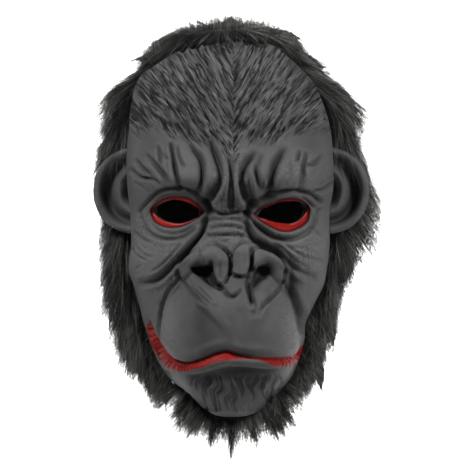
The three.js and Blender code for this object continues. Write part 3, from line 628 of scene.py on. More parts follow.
def eyeForms(x, up):  # the rims of the eye holes, and how far inside the holes and the red paint a point is
    shape = np.zeros_like(x)
    hole = np.full_like(x, -99.0)
    paint = np.full_like(x, -99.0)
    for eye in eyes.values():
        inHole = insideOf(closedPath(eye["hole"]), x, up)
        inRim = insideOf(closedPath(eye["rim"]), x, up)
        band = np.clip(-inHole, 0, None) / (np.clip(-inHole, 0, None) + np.clip(inRim, 0, None) + 1e-6)
        near = inRim > -7
        ridge = eyeRim["rise"] * np.exp(-((inRim + eyeRim["outside"]) / eyeRim["width"]) ** 2)
        dip = -eyeRim["dip"] * np.clip(1 - band, 0, 1) ** 1.5 * (inRim > 0)
        shape += np.where(near, ridge + dip, 0)
        hole = np.maximum(hole, inHole)
        paint = np.maximum(paint, inRim)
    return shape, hole, paint


def creaseForms(x, up):  # creases with slightly swollen sides
    depth = np.zeros_like(x)
    for fold in faceFolds:
        path = smoothPath(fold["path"])
        start, end = fold["width"], fold.get("endWidth", fold["width"])
        distance, share, _ = nearest(path, x, up, 12)
        width = (start + (end - start) * share) * photo["scale"]
        fade = np.sin(math.pi * (0.07 + 0.86 * share)) ** 0.6
        ratio = distance / width
        swelling = 0.2 * np.exp(-((ratio - 2.3) / 0.9) ** 2)
        depth -= fold["depth"] * fade * (np.exp(-np.abs(ratio) ** 1.7) - swelling)
    for hollow in faceHollows:
        inside = insideOf(closedPath(hollow["outline"]), x, up)
        depth -= hollow["depth"] * smooth(inside / hollow["edge"])
    return depth


def mouthForms(x, up):
    path = smoothPath(mouth["path"], 4)
    distance, share, side = nearest(path, x, up, 16)
    ratio = distance / (mouth["width"] * photo["scale"])
    fade = np.clip(np.sin(math.pi * (0.03 + 0.94 * share)), 0, 1) ** 0.4
    groove = -mouth["depth"] * fade * np.exp(-ratio ** 1.8)
    roll = mouth["rollRise"] * fade * np.exp(-((distance - mouth["rollAway"]) / mouth["rollWidth"]) ** 2)
    paint = insideOf(closedPath(mouth["paint"], 3), x, up)
    notches = np.clip(np.sin(share * 300 + 1.6 * np.sin(share * 61)), -0.2, 1) * smooth((paint + 0.5) / 1.2)
    notched = np.maximum(smooth((0.36 - share) / 0.06), smooth((share - 0.78) / 0.05)) * (side < 0)
    return groove + roll - mouth["notchDepth"] * notches * notched, paint, np.clip(notches * notched, 0, 1)


# sculpted hair: on the forehead it branches up and outward from a trunk in the middle, on the chin it waves
hairShape = dict(
    trunk=2.0,
    trunkLean=30,
    sideLean=44,
    leanReach=80,
    foreheadDepth=2.3,
    chinDepth=2.6,
)


def hairForms(x, up):
    column = x / photo["scale"] + photo["middleColumn"]
    row = photo["eyeRow"] - up / photo["scale"]
    out = np.abs(x - hairShape["trunk"])
    fine = np.linspace(0, 110, 441)
    lean = np.radians(hairShape["trunkLean"] + (hairShape["sideLean"] - hairShape["trunkLean"])
                      * smooth(fine / hairShape["leanReach"]))
    climb = np.concatenate([[0], np.cumsum(0.25 / np.tan(lean[1:]))])
    bend = 1.6 * valueNoise(x / 13, up / 13, 3) + 0.7 * valueNoise(x / 5, up / 6, 11)
    acrossHair = up - np.interp(out, fine, climb) + bend
    alongHair = 0.75 * up + 0.5 * out + np.where(x < hairShape["trunk"], 37.0, 0.0)
    coarse = valueNoise(acrossHair / 2.7, alongHair / 13, 4)
    strokes = -smooth((coarse - 0.05) / 0.5) * hairShape["foreheadDepth"]
    low = 147 + 7 * valueNoise(x / 8, x * 0 + 3, 6) - 12 * smooth((np.abs(column - 231) - 30) / 60)
    low = np.where(np.abs(column - 231) < 9, 165, low)
    forehead = smooth((low + 5 - row) / 18) * ramp(up, 137, 132)
    acrossChin = x + 1.5 * np.sin(up / 3.6 + x / 8) + 0.5 * np.sin(up / 1.9 + x / 3)
    chinStrokes = -np.clip(valueNoise(acrossChin / 2.4, up / 15, 8), 0, 1) ** 0.7 * hairShape["chinDepth"]
    chin = ramp(row, 373, 379) * ramp(row, 413, 410) * smooth((52 - np.abs(column - 236)) / 10)
    return strokes * forehead + chinStrokes * chin, forehead, chin, acrossHair, alongHair, acrossChin


def lowest(values, reach):  # the lowest value around each point of a grid
    for axis in (0, 1):
        values = np.minimum.reduce([np.roll(values, shift, axis) for shift in range(-reach, reach + 1)])
    return values


def loopsOf(faces):  # the open edges of a mesh, walked into loops
    after = {}
    for face in faces:
        for a, b in zip(face, list(face[1:]) + [face[0]]):
            if after.get((b, a)):
                del after[(b, a)]
            else:
                after[(a, b)] = True
    follow = dict(after.keys())
    loops = []
    while follow:
        start, here = next(iter(follow.items()))
        loop = [start]
        del follow[start]
        while here != start:
            loop.append(here)
            here = follow.pop(here)
        loops.append(loop)
    return loops


def stitch(first, second, points):  # triangles between two loops that run the same way
    first, second = list(first), list(second)
    nearestStart = np.linalg.norm(points[second] - points[first[0]], axis=1).argmin()
    second = second[nearestStart:] + second[:nearestStart]

    def shares(loop):
        line = points[loop + [loop[0]]]
        steps = np.linalg.norm(np.diff(line, axis=0), axis=1)
        return np.concatenate([[0], np.cumsum(steps)]) / steps.sum()

    one, two = shares(first), shares(second)
    i, j, faces = 0, 0, []
    while i < len(first) or j < len(second):
        a, b = first[i % len(first)], second[j % len(second)]
        if j == len(second) or (i < len(first) and one[i + 1] <= two[j + 1]):
            faces.append((a, b, first[(i + 1) % len(first)]))
            i += 1
        else:
            faces.append((a, b, second[(j + 1) % len(second)]))
            j += 1
    return faces


def gridFaces(rows, columns, inHole, offset=0, behind=False):  # quads, and triangles along the holes' edges
    corners = gridQuads(rows, columns)[1]
    gone = (inHole.ravel() > 1e-4)[corners]
    count = gone.sum(1)
    faces = [tuple(quad) for quad in (corners[count == 0] + offset).tolist()]
    for quad, missing in zip((corners[count == 1] + offset).tolist(), gone[count == 1]):
        faces.append(tuple(corner for corner, lost in zip(quad, missing) if not lost))
    return [face[::-1] for face in faces] if behind else faces


def snapToHoles(x, up, step):  # moves the points nearest to a hole's edge onto it
    for eye in eyes.values():
        path = closedPath(eye["hole"])
        inHole = insideOf(path, x, up)
        near = np.abs(inHole) < step
        if not near.any():
            continue
        px, pu = x[near], up[near]
        best = np.full(px.shape, 1e3)
        bx, bu = px.copy(), pu.copy()
        for start, end in zip(path[:-1], path[1:]):
            f, ex, ey = toSegment(px, pu, start, end)
            d = np.hypot(ex, ey)
            nearer = d < best
            best[nearer] = d[nearer]
            onto = start + f[nearer, None] * (end - start)
            bx[nearer], bu[nearer] = onto[:, 0], onto[:, 1]
        x[near], up[near] = bx, bu
    return x, up


def buildFace():
    t, s = faceStops()
    x, forward, up = plainForm(t, s)
    ragged = valueNoise(x / 2.6, up * 0 + 2, 31) + 0.7 * valueNoise(x / 6.3, up * 0 + 5, 32)
    up = up + faceShape["ragged"] * ragged * (1 - smooth(t / 0.035)) * smooth((1 - np.abs(s)) / 0.04)
    plain = np.stack([x, forward, up], -1)
    rim = smooth((1 - np.abs(s)) / 0.12) * smooth(t / 0.03) * smooth((1 - t) / 0.03)
    rimSoft = smooth((1 - np.abs(s)) / 0.2) * smooth(t / 0.06) * smooth((1 - t) / 0.06)
    x, up = snapToHoles(x.copy(), up.copy(), faceShape["outerSnap"])
    rise = forwardForms(x, up) * rimSoft
    eyeShape, hole, lidPaint = eyeForms(x, up)
    creases = creaseForms(x, up)
    mouthShape, lipPaint, lipNotches = mouthForms(x, up)
    hair, foreheadHair, chinHair, acrossHair, alongHair, acrossChin = hairForms(x, up)
    inward = (creases + mouthShape + hair) * rim
    points = place(x, forward + rise + eyeShape, up)
    base = place(plain[..., 0], plain[..., 1] + rise, plain[..., 2])
    away = gridNormals(base)
    away = unit(away * 0.75 + np.array([0, -1.0, 0]) * 0.25)
    outer = points + away * (inward * mm)[..., None]

    step = faceShape["innerStep"]
    pick = np.ix_(*[np.append(np.arange(0, faceShape[way] - 1, step), faceShape[way] - 1)
                    for way in ("rows", "columns")])
    shallow = lowest(inward, step)[pick]
    lift = lowest(rise + eyeShape, step - 1)[pick]
    ix, iu = snapToHoles(plain[..., 0][pick].copy(), plain[..., 2][pick].copy(), faceShape["innerSnap"])
    innerHole = eyeForms(ix, iu)[1]
    inner = place(ix, plain[..., 1][pick] + lift, iu)
    inner = inner + gridNormals(place(plain[..., 0], plain[..., 1], plain[..., 2]))[pick] * (
        (shallow - faceShape["wall"]) * mm)[..., None]

    outerFaces = gridFaces(*x.shape, np.where(np.abs(hole) < 0.05, 0, hole))
    innerFaces = gridFaces(*ix.shape, np.where(np.abs(innerHole) < 0.05, 0, innerHole), x.size, True)
    points = np.concatenate([outer.reshape(-1, 3), inner.reshape(-1, 3)])
    faces = outerFaces + innerFaces
    outerLoops, innerLoops = loopsOf(outerFaces), loopsOf(innerFaces)
    for loop in outerLoops:
        middle = points[loop].mean(0)
        partner = min(innerLoops, key=lambda other: np.linalg.norm(points[other].mean(0) - middle))
        faces += [face[::-1] for face in stitch(loop, partner[::-1], points)]
    used = np.zeros(len(points), bool)
    for face in faces:
        used[list(face)] = True
    renumber = np.cumsum(used) - 1
    faces = [tuple(int(renumber[corner]) for corner in face) for face in faces]
    print("face", used.sum(), "points", len(faces), "faces", len(outerLoops), len(innerLoops), "loops")

    piece = newPiece("latexFace", points[used], faces, replaces=["face_shell"])
    filler = np.zeros(ix.size)

    def both(values, rest=0.0):
        return np.concatenate([values.ravel(), filler + rest])[used]

    # painted shade: darker in the creases, hollows and sculpted hair grooves, and over the whole inner wall
    recessShade = np.clip(-(creases + 0.8 * hair) * rim / 4, 0, 1)
    attributes = [("lidPaint", lidPaint, -9), ("lipPaint", lipPaint, -9), ("lipNotches", lipNotches, 0),
                  ("recessShade", recessShade, 0.9), ("shade", shadeOf(x, up), 0), ("foreheadHair", foreheadHair, 0),
                  ("chinHair", chinHair, 0)]
    for name, values, inside in attributes:
        addAttribute(piece, name, both(values, inside))
    addUV(piece, "hairFlow", np.stack([both(acrossHair) / 100, both(alongHair) / 100], -1))
    addUV(piece, "chinFlow", np.stack([both(acrossChin) / 100, both(up) / 100], -1))
    return piece


face = buildFace()


latexTones = dict(
    base=(0.05, 0.05, 0.0505, 1),
    pale=(0.078, 0.078, 0.0785, 1),
    worn=(0.062, 0.0615, 0.061, 1),
    # painted shade for creases, hollows and ear bowls, then for the darker patches
    recessShade=(0.008, 0.008, 0.0085, 1),
    shade=(0.006, 0.006, 0.0065, 1),
    # painted highlight, for patches whose dark is negative
    paintedHighlight=(0.14, 0.14, 0.139, 1),
    # painted shade in fine cracks
    wrinkleShade=(0.012, 0.012, 0.0125, 1),
    hairLight=(0.145, 0.145, 0.145, 1),
    # painted shade on the chin, which faces down
    chin=(0.016, 0.016, 0.0165, 1),
    # painted shade in the sculpted hair's grooves
    strokeShade=(0.005, 0.005, 0.0055, 1),
    lipDark=(0.1, 0.002, 0.0015, 1),
    lip=(0.3, 0.007, 0.004, 1),
    lipRubbed=(0.32, 0.04, 0.03, 1),
    # painted shade in the lip's notches
    lipNotch=(0.03, 0.003, 0.003, 1),
    # the eye rims' red: darker at the outer edge as painted shade, lighter towards the hole as a painted
    # highlight
    lidShade=(0.05, 0.0012, 0.001, 1),
    lid=(0.25, 0.008, 0.005, 1),
)
latexScales = dict(grain=900, mottle=45, broad=14, cracks=230, raggedEdge=260, streaks=520)
latexGloss = dict(
    roughness=0.54,
    earRoughness=0.56,
    mottled=0.12,
    specular=0.14,
    lidCoat=0.25,
    coatRoughness=0.25,
)


def latexFinish(name, painted):
    finish = Finish(name)

    def over(under, share, tone):  # a tone over another, full where the share is 1
        return finish.mix(share, under, latexTones[tone])

    where = finish.where()
    grain = finish.noise(where, latexScales["grain"], 3)
    mottle = finish.noise(where, latexScales["mottle"], 4)
    broad = finish.noise(where, latexScales["broad"], 3)
    grey = over(latexTones["base"], finish.clamp((mottle - 0.35) * 2.2), "pale")
    grey = over(grey, finish.clamp((broad - 0.4) * 1.6), "worn")
    height = grain * 0.3 + mottle * 0.3
    # painted shade in creases, hollows, hair grooves, ear bowls and on the inner wall
    recessShade = finish.attribute("recessShade")
    grey = over(grey, finish.clamp(recessShade * 0.9), "recessShade")
    if not painted:
        bump = finish.bump(0.5, 0.0006, height)
        return finish.surface(Base_Color=grey, Normal=bump, Specular_IOR_Level=latexGloss["specular"],
                              Roughness=latexGloss["earRoughness"] + mottle * latexGloss["mottled"])
    # painted shade on some patches, and a painted highlight on others
    shade = finish.attribute("shade")
    grey = over(grey, finish.clamp(shade), "shade")
    grey = over(grey, finish.clamp(shade * -1), "paintedHighlight")
    # fine cracks, only on the painted highlight: sunk in the bump and darkened with painted shade
    cracks = finish.node("ShaderNodeTexVoronoi", dict(feature="DISTANCE_TO_EDGE"),
                         {"Vector": where, "Scale": latexScales["cracks"]}, output="Distance")
    wrinkles = finish.clamp(1 - cracks * 11) * finish.clamp((mottle - 0.36) * 4) * finish.clamp(shade * -5)
    grey = over(grey, wrinkles * 0.6, "wrinkleShade")
    flow = finish.uv("hairFlow")
    hairMask = finish.attribute("foreheadHair")

    def strokesOf(vector, scale, width, share):  # thin dark lines along a flow, that come and go
        stretched = finish.stretched(vector, (*scale, 1))
        level = finish.noise(stretched, 1.0, 1, 0.5) - 0.5
        broken = finish.noise(finish.stretched(vector, (scale[0] * 0.5, scale[1] * 1.3, 3)), 1.0, 1)
        return finish.clamp(1.6 - level * level * width) * finish.clamp((broken - share) * 9)

    # painted shade along the sculpted hair's grooves, also sunk in the bump
    hairDark = (strokesOf(flow, (18, 3.6), 620, 0.43) + strokesOf(flow, (34, 6.5), 420, 0.45) * 0.9) * hairMask
    stretchedFine = finish.stretched(flow, (70, 9, 1))
    hairLight = finish.clamp((0.46 - finish.noise(stretchedFine, 1.0, 1, 0.5)) * 9) * hairMask
    chinFlow = finish.uv("chinFlow")
    chinMask = finish.attribute("chinHair")
    chinDark = strokesOf(chinFlow, (11, 1.6), 260, 0.25) * chinMask
    lines = finish.clamp(hairDark + chinDark)
    grey = over(grey, hairLight * 0.6, "hairLight")
    # the chin darkened with painted shade, since it faces down
    grey = over(grey, chinMask * 0.66, "chin")
    grey = over(grey, lines * 0.94, "strokeShade")
    ragged = (finish.noise(where, latexScales["raggedEdge"], 3) - 0.5) * 0.9
    lid = finish.clamp((finish.attribute("lidPaint") + ragged) * 1.8)
    lip = finish.clamp((finish.attribute("lipPaint") + ragged) * 1.3)
    streaks = finish.noise(where, latexScales["streaks"], 2)
    lipRed = over(latexTones["lipDark"], finish.clamp((streaks - 0.4) * 3), "lip")
    lipRed = over(lipRed, finish.clamp((mottle - 0.52) * 4), "lipRubbed")
    # painted shade in the lip's notches
    lipRed = over(lipRed, finish.attribute("lipNotches") * 0.85, "lipNotch")
    # the eye rims' red, lighter towards the hole as a painted highlight and darker outward as painted shade,
    # with streaks
    inward = finish.clamp((finish.attribute("lidPaint") - 1.1) * 0.6 + (streaks - 0.5) * 1.2)
    lidRed = over(latexTones["lidShade"], inward, "lid")
    grey = finish.mix(lid, grey, lidRed)
    grey = finish.mix(lip, grey, lipRed)
    height = height - lines * 1.3 + hairLight * 0.4 - wrinkles * 0.8
    bump = finish.bump(0.7, 0.001, height)
    return finish.surface(Base_Color=grey, Normal=bump, Specular_IOR_Level=latexGloss["specular"],
                          Roughness=latexGloss["roughness"] + mottle * latexGloss["mottled"],
                          Coat_Weight=lid * latexGloss["lidCoat"], Coat_Roughness=latexGloss["coatRoughness"])


face.data.materials.append(latexFinish("painted latex", True))
print("face done")


# ears: rings from the root to the rim. reach and rise are shares of the ear's reach and of its hollow, and dark
# is how much painted shade the ring gets, most in the bowl
earShape = dict(
    steps=72,
    rings=46,
    wall=3.0,
    root=81,  # where the bowl meets the head, out from the middle
    tucked=9,  # how much further in the ear starts, behind the latex
    hollow=7,
    sweep=24,
    stretch=1.02,  # the bowl reaches this much further than its solid
    setBack=1.5,
    # the wearer's left ear, away from the key light, gets more painted shade than the right
    darkRight=0.72,
    darkLeft=0.98,
    profile=tableOf(
        "reach rise dark",
        (0.0, -0.75, 1.0),
        (0.14, -1.0, 1.0),
        (0.28, -0.9, 0.9),
        (0.36, -0.2, 0.1),
        (0.43, 0.3, 0.0),
        (0.49, 0.3, 0.0),
        (0.56, -0.3, 0.3),
        (0.64, -0.95, 1.0),
        (0.74, -0.9, 1.0),
        (0.81, 0.1, 0.2),
        (0.88, 0.6, 0.0),
        (0.95, 0.6, 0.0),
        (1.0, 0.05, 0.0),
    ),
)


def buildEar(side, nodeName):
    low, high = [np.array(corner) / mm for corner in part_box(nodeName)]
    outermost = max(abs(low[0]), abs(high[0])) * earShape["stretch"]
    middleUp = (low[2] + high[2]) / 2
    half = (high[2] - low[2]) / 2
    front = -low[1]
    root = earShape["root"]
    reach = (outermost - root) / math.cos(math.radians(earShape["sweep"]))
    profile = earShape["profile"]
    position = np.linspace(0, len(profile) - 1, earShape["rings"])
    ringReach = along([p["reach"] for p in profile], position)[:, None]
    ringRise = along([p["rise"] for p in profile], position)[:, None]
    dark = np.clip(along([p["dark"] for p in profile], position), 0, 1)
    turn = np.linspace(math.pi / 2, -math.pi / 2, earShape["steps"])[None, :]
    bulge = np.clip(np.cos(turn), 0, 1) ** 0.8
    out = -earShape["tucked"] + (reach + earShape["tucked"]) * ringReach * bulge
    up = half * np.sin(turn) * (0.12 + 0.88 * ringReach)
    lumps = valueNoise(turn * 2.1 + 5 * ringReach, ringReach * 3 + turn * 0, 21 + side)
    rise = earShape["hollow"] * ringRise * np.clip(np.cos(turn * 0.92), 0, 1) ** 0.5 + 0.5 * lumps
    sweep = math.radians(earShape["sweep"])
    x = side * (root + out * math.cos(sweep))
    forward = front - earShape["setBack"] + rise - np.clip(out, 0, None) * math.sin(sweep)
    points = sideBySide(x, -forward, middleUp + up) * mm
    back = points + np.array([0, earShape["wall"] * mm, 0])
    rows, columns = points.shape[:2]
    index, quads = gridQuads(rows, columns)
    loop = list(index[:, 0]) + list(index[-1, 1:]) + list(index[-2::-1, -1]) + list(index[0, -2:0:-1])
    count = rows * columns
    faces = [tuple(q) for q in quads.tolist()] + [tuple(q[::-1] + count) for q in quads]
    for a, b in zip(loop, loop[1:] + loop[:1]):
        faces.append((int(b), int(a), int(a) + count, int(b) + count))
    allPoints = np.concatenate([points.reshape(-1, 3), back.reshape(-1, 3)])
    sideName = "Right" if side < 0 else "Left"
    piece = newPiece("latexEar" + sideName, allPoints, faces, replaces=[nodeName])
    # painted shade, deepest in the bowl
    addAttribute(piece, "recessShade", np.tile(np.repeat(dark, columns), 2) * earShape["dark" + sideName])
    weld(piece, 0.00005, True)
    piece.data.materials.append(earFinish)


earFinish = latexFinish("ear latex", False)
for earSide, earNode in ((-1, "ear_right"), (1, "ear_left")):
    buildEar(earSide, earNode)
print("ears done")


# the hood's cloth keeps its own solid and gets a knit
knitTones = dict(furrow=(0.006, 0.006, 0.006, 1), thread=(0.018, 0.018, 0.018, 1))


def knitFinish():
    finish = Finish("black knit")
    where = finish.where()
    ribs, rows = [finish.node("ShaderNodeTexWave", dict(wave_type="BANDS", bands_direction=axis),
                              {"Vector": where, "Scale": scale, "Distortion": bend, "Detail": 1}, output="Fac")
                  for axis, scale, bend in (("X", 380, 1.2), ("Z", 300, 0.8))]
    weave = ribs * rows
    colour = finish.mix(weave, knitTones["furrow"], knitTones["thread"])
    bump = finish.bump(0.6, 0.0004, weave)
    return finish.surface(Base_Color=colour, Roughness=0.95, Normal=bump)


lining = nodes["hood_lining"]
lining.data.materials.clear()
lining.data.materials.append(knitFinish())


# fur: a dense undercoat, and strands rooted all over it and under the latex's edge
furShape = dict(
    hoodStrands=42000,
    frontStrands=9000,
    beardStrands=7500,
    beardLocks=700,
    wispStrands=6000,
    locks=7000,
    edgeStrands=11000,
    jawStrands=4500,
    segments=3,
    radius=0.14,
    length=42,
    beardLength=40,
    edgeLength=30,
    edgeBand=22,  # how far from the latex this hair is rooted
    edgeTop=131,  # the latex's upper edge, up from the eye line
    parting=-8,  # out from the middle, on the wearer's right
    wave=0.05,
    taper=0.6,
    lockTurn=0.2,
    sink=1.0,
    rounding=7,
    voxel=2.4,
    roomShare=0.025,  # of the solids' box, that the fur may stand out of it
    roomExtra=9,
)
# where the fur changes, in millimetres out from the middle or up from the eye line: from none to all
furZones = dict(
    crown=(70, 130),
    cornerOut=(35, 60),
    cornerEnd=(100, 60),
    shoulderLow=(76, 98),
    shoulderHigh=(148, 128),
    shoulderOut=(38, 58),
    sweepOut=(50, 90),
    sweepLow=(-22, 13),
    sweepHigh=(75, 15),
    tuckedOut=(45, 75),
    tuckedLow=(-8, -38),
    hem=(-95, -135),
    front=(-5, 20),
    edgeHigh=(75, 120),
    capHigh=(90, 125),
    capOut=(35, 70),
)
# how much longer than elsewhere a zone's hair is, and how far it stands off the head
furLonger = dict(sweep=0.6, loose=0.35, crown=-0.4, corner=-0.2, hem=-0.4, shoulder=0.35, tucked=-0.3)
furLift = dict(all=0.8, crown=-0.55, sweep=0.3, tucked=-0.55, loose=0.25)


def zone(name, value):
    return ramp(value, *furZones[name])


furTones = dict(
    dark=(0.002, 0.002, 0.002, 1),
    undercoat=(0.012, 0.012, 0.0115, 1),
    brown=(0.03, 0.0295, 0.0275, 1),
    # painted sheen for lighter locks
    light=(0.21, 0.206, 0.194, 1),
)


def furFinish():
    finish = Finish("black fur")
    strand = finish.uv("strand")
    tint = finish.node("ShaderNodeSeparateXYZ", None, {"Vector": strand})
    way = finish.node("ShaderNodeSeparateXYZ", None, {"Vector": strand}, output=1)
    where = finish.where()
    patches = finish.noise(where, 35, 2)
    dark = finish.mix(tint, furTones["dark"], furTones["brown"])
    # painted sheen: lighter locks get lighter towards their tips, in patches
    furSheen = finish.clamp((way * 1.2 + 0.15) * (tint - 0.35) * 2.6 + (patches - 0.55) * 0.8)
    colour = finish.mix(furSheen, dark, furTones["light"])
    return finish.surface(Base_Color=colour, Roughness=0.5, Specular_IOR_Level=0.3)


def undercoatFinish():
    finish = Finish("fur undercoat")
    where = finish.where()
    stretched = finish.stretched(where, (900, 900, 90))
    streaks = finish.noise(stretched, 1.0, 3)
    colour = finish.mix(streaks, furTones["dark"], furTones["undercoat"])
    bump = finish.bump(1.0, 0.0015, streaks)
    return finish.surface(Base_Color=colour, Roughness=0.8, Normal=bump)


furMaterial = furFinish()
undercoatMaterial = undercoatFinish()


def undercoat(name, nodeName):  # the solid fur, softened and drawn in, as points and triangles too
    piece = nodes[nodeName].copy()
    piece.data = nodes[nodeName].data.copy()
    piece.name = name
    bpy.context.collection.objects.link(piece)
    piece.hide_set(False)
    piece.hide_render = False
    weld(piece, 0.00001)
    remesh = piece.modifiers.new("even", "REMESH")
    remesh.mode = "VOXEL"
    remesh.voxel_size = furShape["voxel"] * mm
    draw = piece.modifiers.new("drawn in", "DISPLACE")
    draw.mid_level = 0
    draw.strength = -furShape["sink"] * mm
    soften = piece.modifiers.new("soften", "SMOOTH")
    soften.factor = 0.5
    soften.iterations = 4
    for modifier in list(piece.modifiers):
        bpy.ops.object.modifier_apply(modifier=modifier.name)
    rounded = pointsOf(piece.data)
    corner = zone("capHigh", (rounded[:, 2] - eyeLine) / mm) * zone("capOut", np.abs(rounded[:, 0]) / mm)
    heart = np.array([0, rounded[:, 1].mean(), eyeLine])
    rounded -= unit(rounded - heart) * (corner * furShape["rounding"] * mm)[:, None]
    piece.data.vertices.foreach_set("co", rounded.ravel())
    piece.data.materials.clear()
    piece.data.materials.append(undercoatMaterial)
    piece.data.shade_smooth()
    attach(piece, "root")
    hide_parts(nodeName)
    triangles = trianglesOf(piece.data)
    print(name, len(triangles), "triangles")
    return pointsOf(piece.data), triangles


roomLow, roomHigh = [np.array(corner) for corner in cadBox]
room = (roomHigh - roomLow) * furShape["roomShare"] + furShape["roomExtra"] * mm
roomLow, roomHigh = roomLow - room, roomHigh + room


def scatter(points, triangles, count, weights):  # points spread over triangles, with the surface's normals
    corners = points[triangles]
    across = crossOf(corners)
    area = np.linalg.norm(across, axis=1) * weights
    chosen = rng.choice(len(triangles), count, p=area / area.sum())
    a, b = rng.random(count), rng.random(count)
    swap = a + b > 1
    a[swap], b[swap] = 1 - a[swap], 1 - b[swap]
    picked = corners[chosen]
    first, second, third = picked[:, 0], picked[:, 1], picked[:, 2]
    return first + a[:, None] * (second - first) + b[:, None] * (third - first), unit(across)[chosen]


def closestOf(spots, guides):  # the guide that each spot's strand belongs to
    tree = kdtree.KDTree(len(guides))
    for i, guide in enumerate(guides):
        tree.insert(guide, i)
    tree.balance()
    return np.array([tree.find(spot)[1] for spot in spots])


# start and end are the directions at root and tip, and gather draws the tip towards its lock
def strands(name, nodeName, roots, start, end, lengths, gather, radius, tint):
    count, segments = len(roots), furShape["segments"]
    share = np.linspace(0, 1, segments + 1)[None, :, None]
    lengths = lengths[:, None, None]
    line = roots[:, None] + lengths * (start[:, None] * share + (end - start)[:, None] * share ** 2 / 2)
    line = line + gather[:, None] * share ** 1.5
    phase = rng.uniform(0, 6.28, (count, 1, 2))
    swing = rng.uniform(0.2, 1.0, (count, 1, 2)) * furShape["wave"] * lengths
    turns = rng.uniform(2, 5, (count, 1, 1))
    lean = np.array([0.31, 0.92, 0.22])

    def across():
        tangent = unit(np.gradient(line, axis=1))
        sideways = unit(np.cross(tangent, lean))
        return sideways, np.cross(sideways, tangent)

    sideways, upright = across()
    line = line + share * (sideways * swing[..., :1] * np.sin(share * turns + phase[..., :1])
                           + upright * swing[..., 1:] * np.sin(share * turns * 1.3 + phase[..., 1:]))
    reach = line - roots[:, None]
    # nothing leaves the room round the part
    ratios = [reach / (side - roots)[:, None] for side in (roomHigh, roomLow)]
    strain = np.maximum(*ratios).max(axis=(1, 2))
    line = roots[:, None] + reach / np.maximum(strain, 1)[:, None, None]
    sideways, upright = across()
    thick = radius[:, None, None] * mm * (1 - share * furShape["taper"])
    line, tips = line[:, :-1], line[:, -1:]
    corners = [line + thick[:, :-1] * (sideways[:, :-1] * math.cos(a) + upright[:, :-1] * math.sin(a))
               for a in (0, 2 * math.pi / 3, 4 * math.pi / 3)]
    shell = np.stack(corners, 2).reshape(count, segments * 3, 3)
    points = np.concatenate([shell, tips], 1).reshape(-1, 3)
    pattern = [(0, 2, 1)]
    for ring in range(segments - 1):
        for k in range(3):
            a, b = ring * 3 + k, ring * 3 + (k + 1) % 3
            pattern += [(a, b, b + 3), (a, b + 3, a + 3)]
    last = (segments - 1) * 3
    pattern += [(last + k, last + (k + 1) % 3, segments * 3) for k in range(3)]
    per = segments * 3 + 1
    faces = (np.array(pattern)[None] + (np.arange(count) * per)[:, None, None]).reshape(-1, 3)
    piece = newPiece(name, points, faces.tolist(), replaces=[nodeName])
    way = np.tile(np.concatenate([np.repeat(share[0, :-1, 0], 3), [1.0]]), count)
    addUV(piece, "strand", np.stack([np.repeat(tint, per), way], -1))
    piece.data.materials.append(furMaterial)
    print(name, count, "strands", len(faces), "triangles")


headMiddle = np.array([0, 0, eyeLine - 30 * mm])


def furFlow(spots, normals):  # away from a parting at the top, then down, and a little back
    x = spots[:, 0] / mm - furShape["parting"]
    up = (spots[:, 2] - eyeLine) / mm
    crown = zone("crown", up)
    side = np.clip(x / 14, -1, 1)
    wish = np.stack([side * (0.18 + 0.9 * crown), 0.18 + 0.45 * crown, -1.0 + 0.4 * crown], -1)
    flat = wish - normals * (wish * normals).sum(1)[:, None]
    return unit(flat)


def clearOfEars(spots):  # no strand is rooted behind an ear's bowl, where it would come through
    clear = np.ones(len(spots), bool)
    for node in ("ear_right", "ear_left"):
        low, high = [np.array(corner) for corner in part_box(node)]
        middle, half = (low + high) / 2, (high - low) / 2
        across = (spots[:, 0] - middle[0]) / (half[0] + 5 * mm)
        height = (spots[:, 2] - middle[2]) / (half[2] - 2 * mm)
        clear &= (across ** 2 + height ** 2 > 1) | (spots[:, 1] > high[1] + 6 * mm)
    return clear


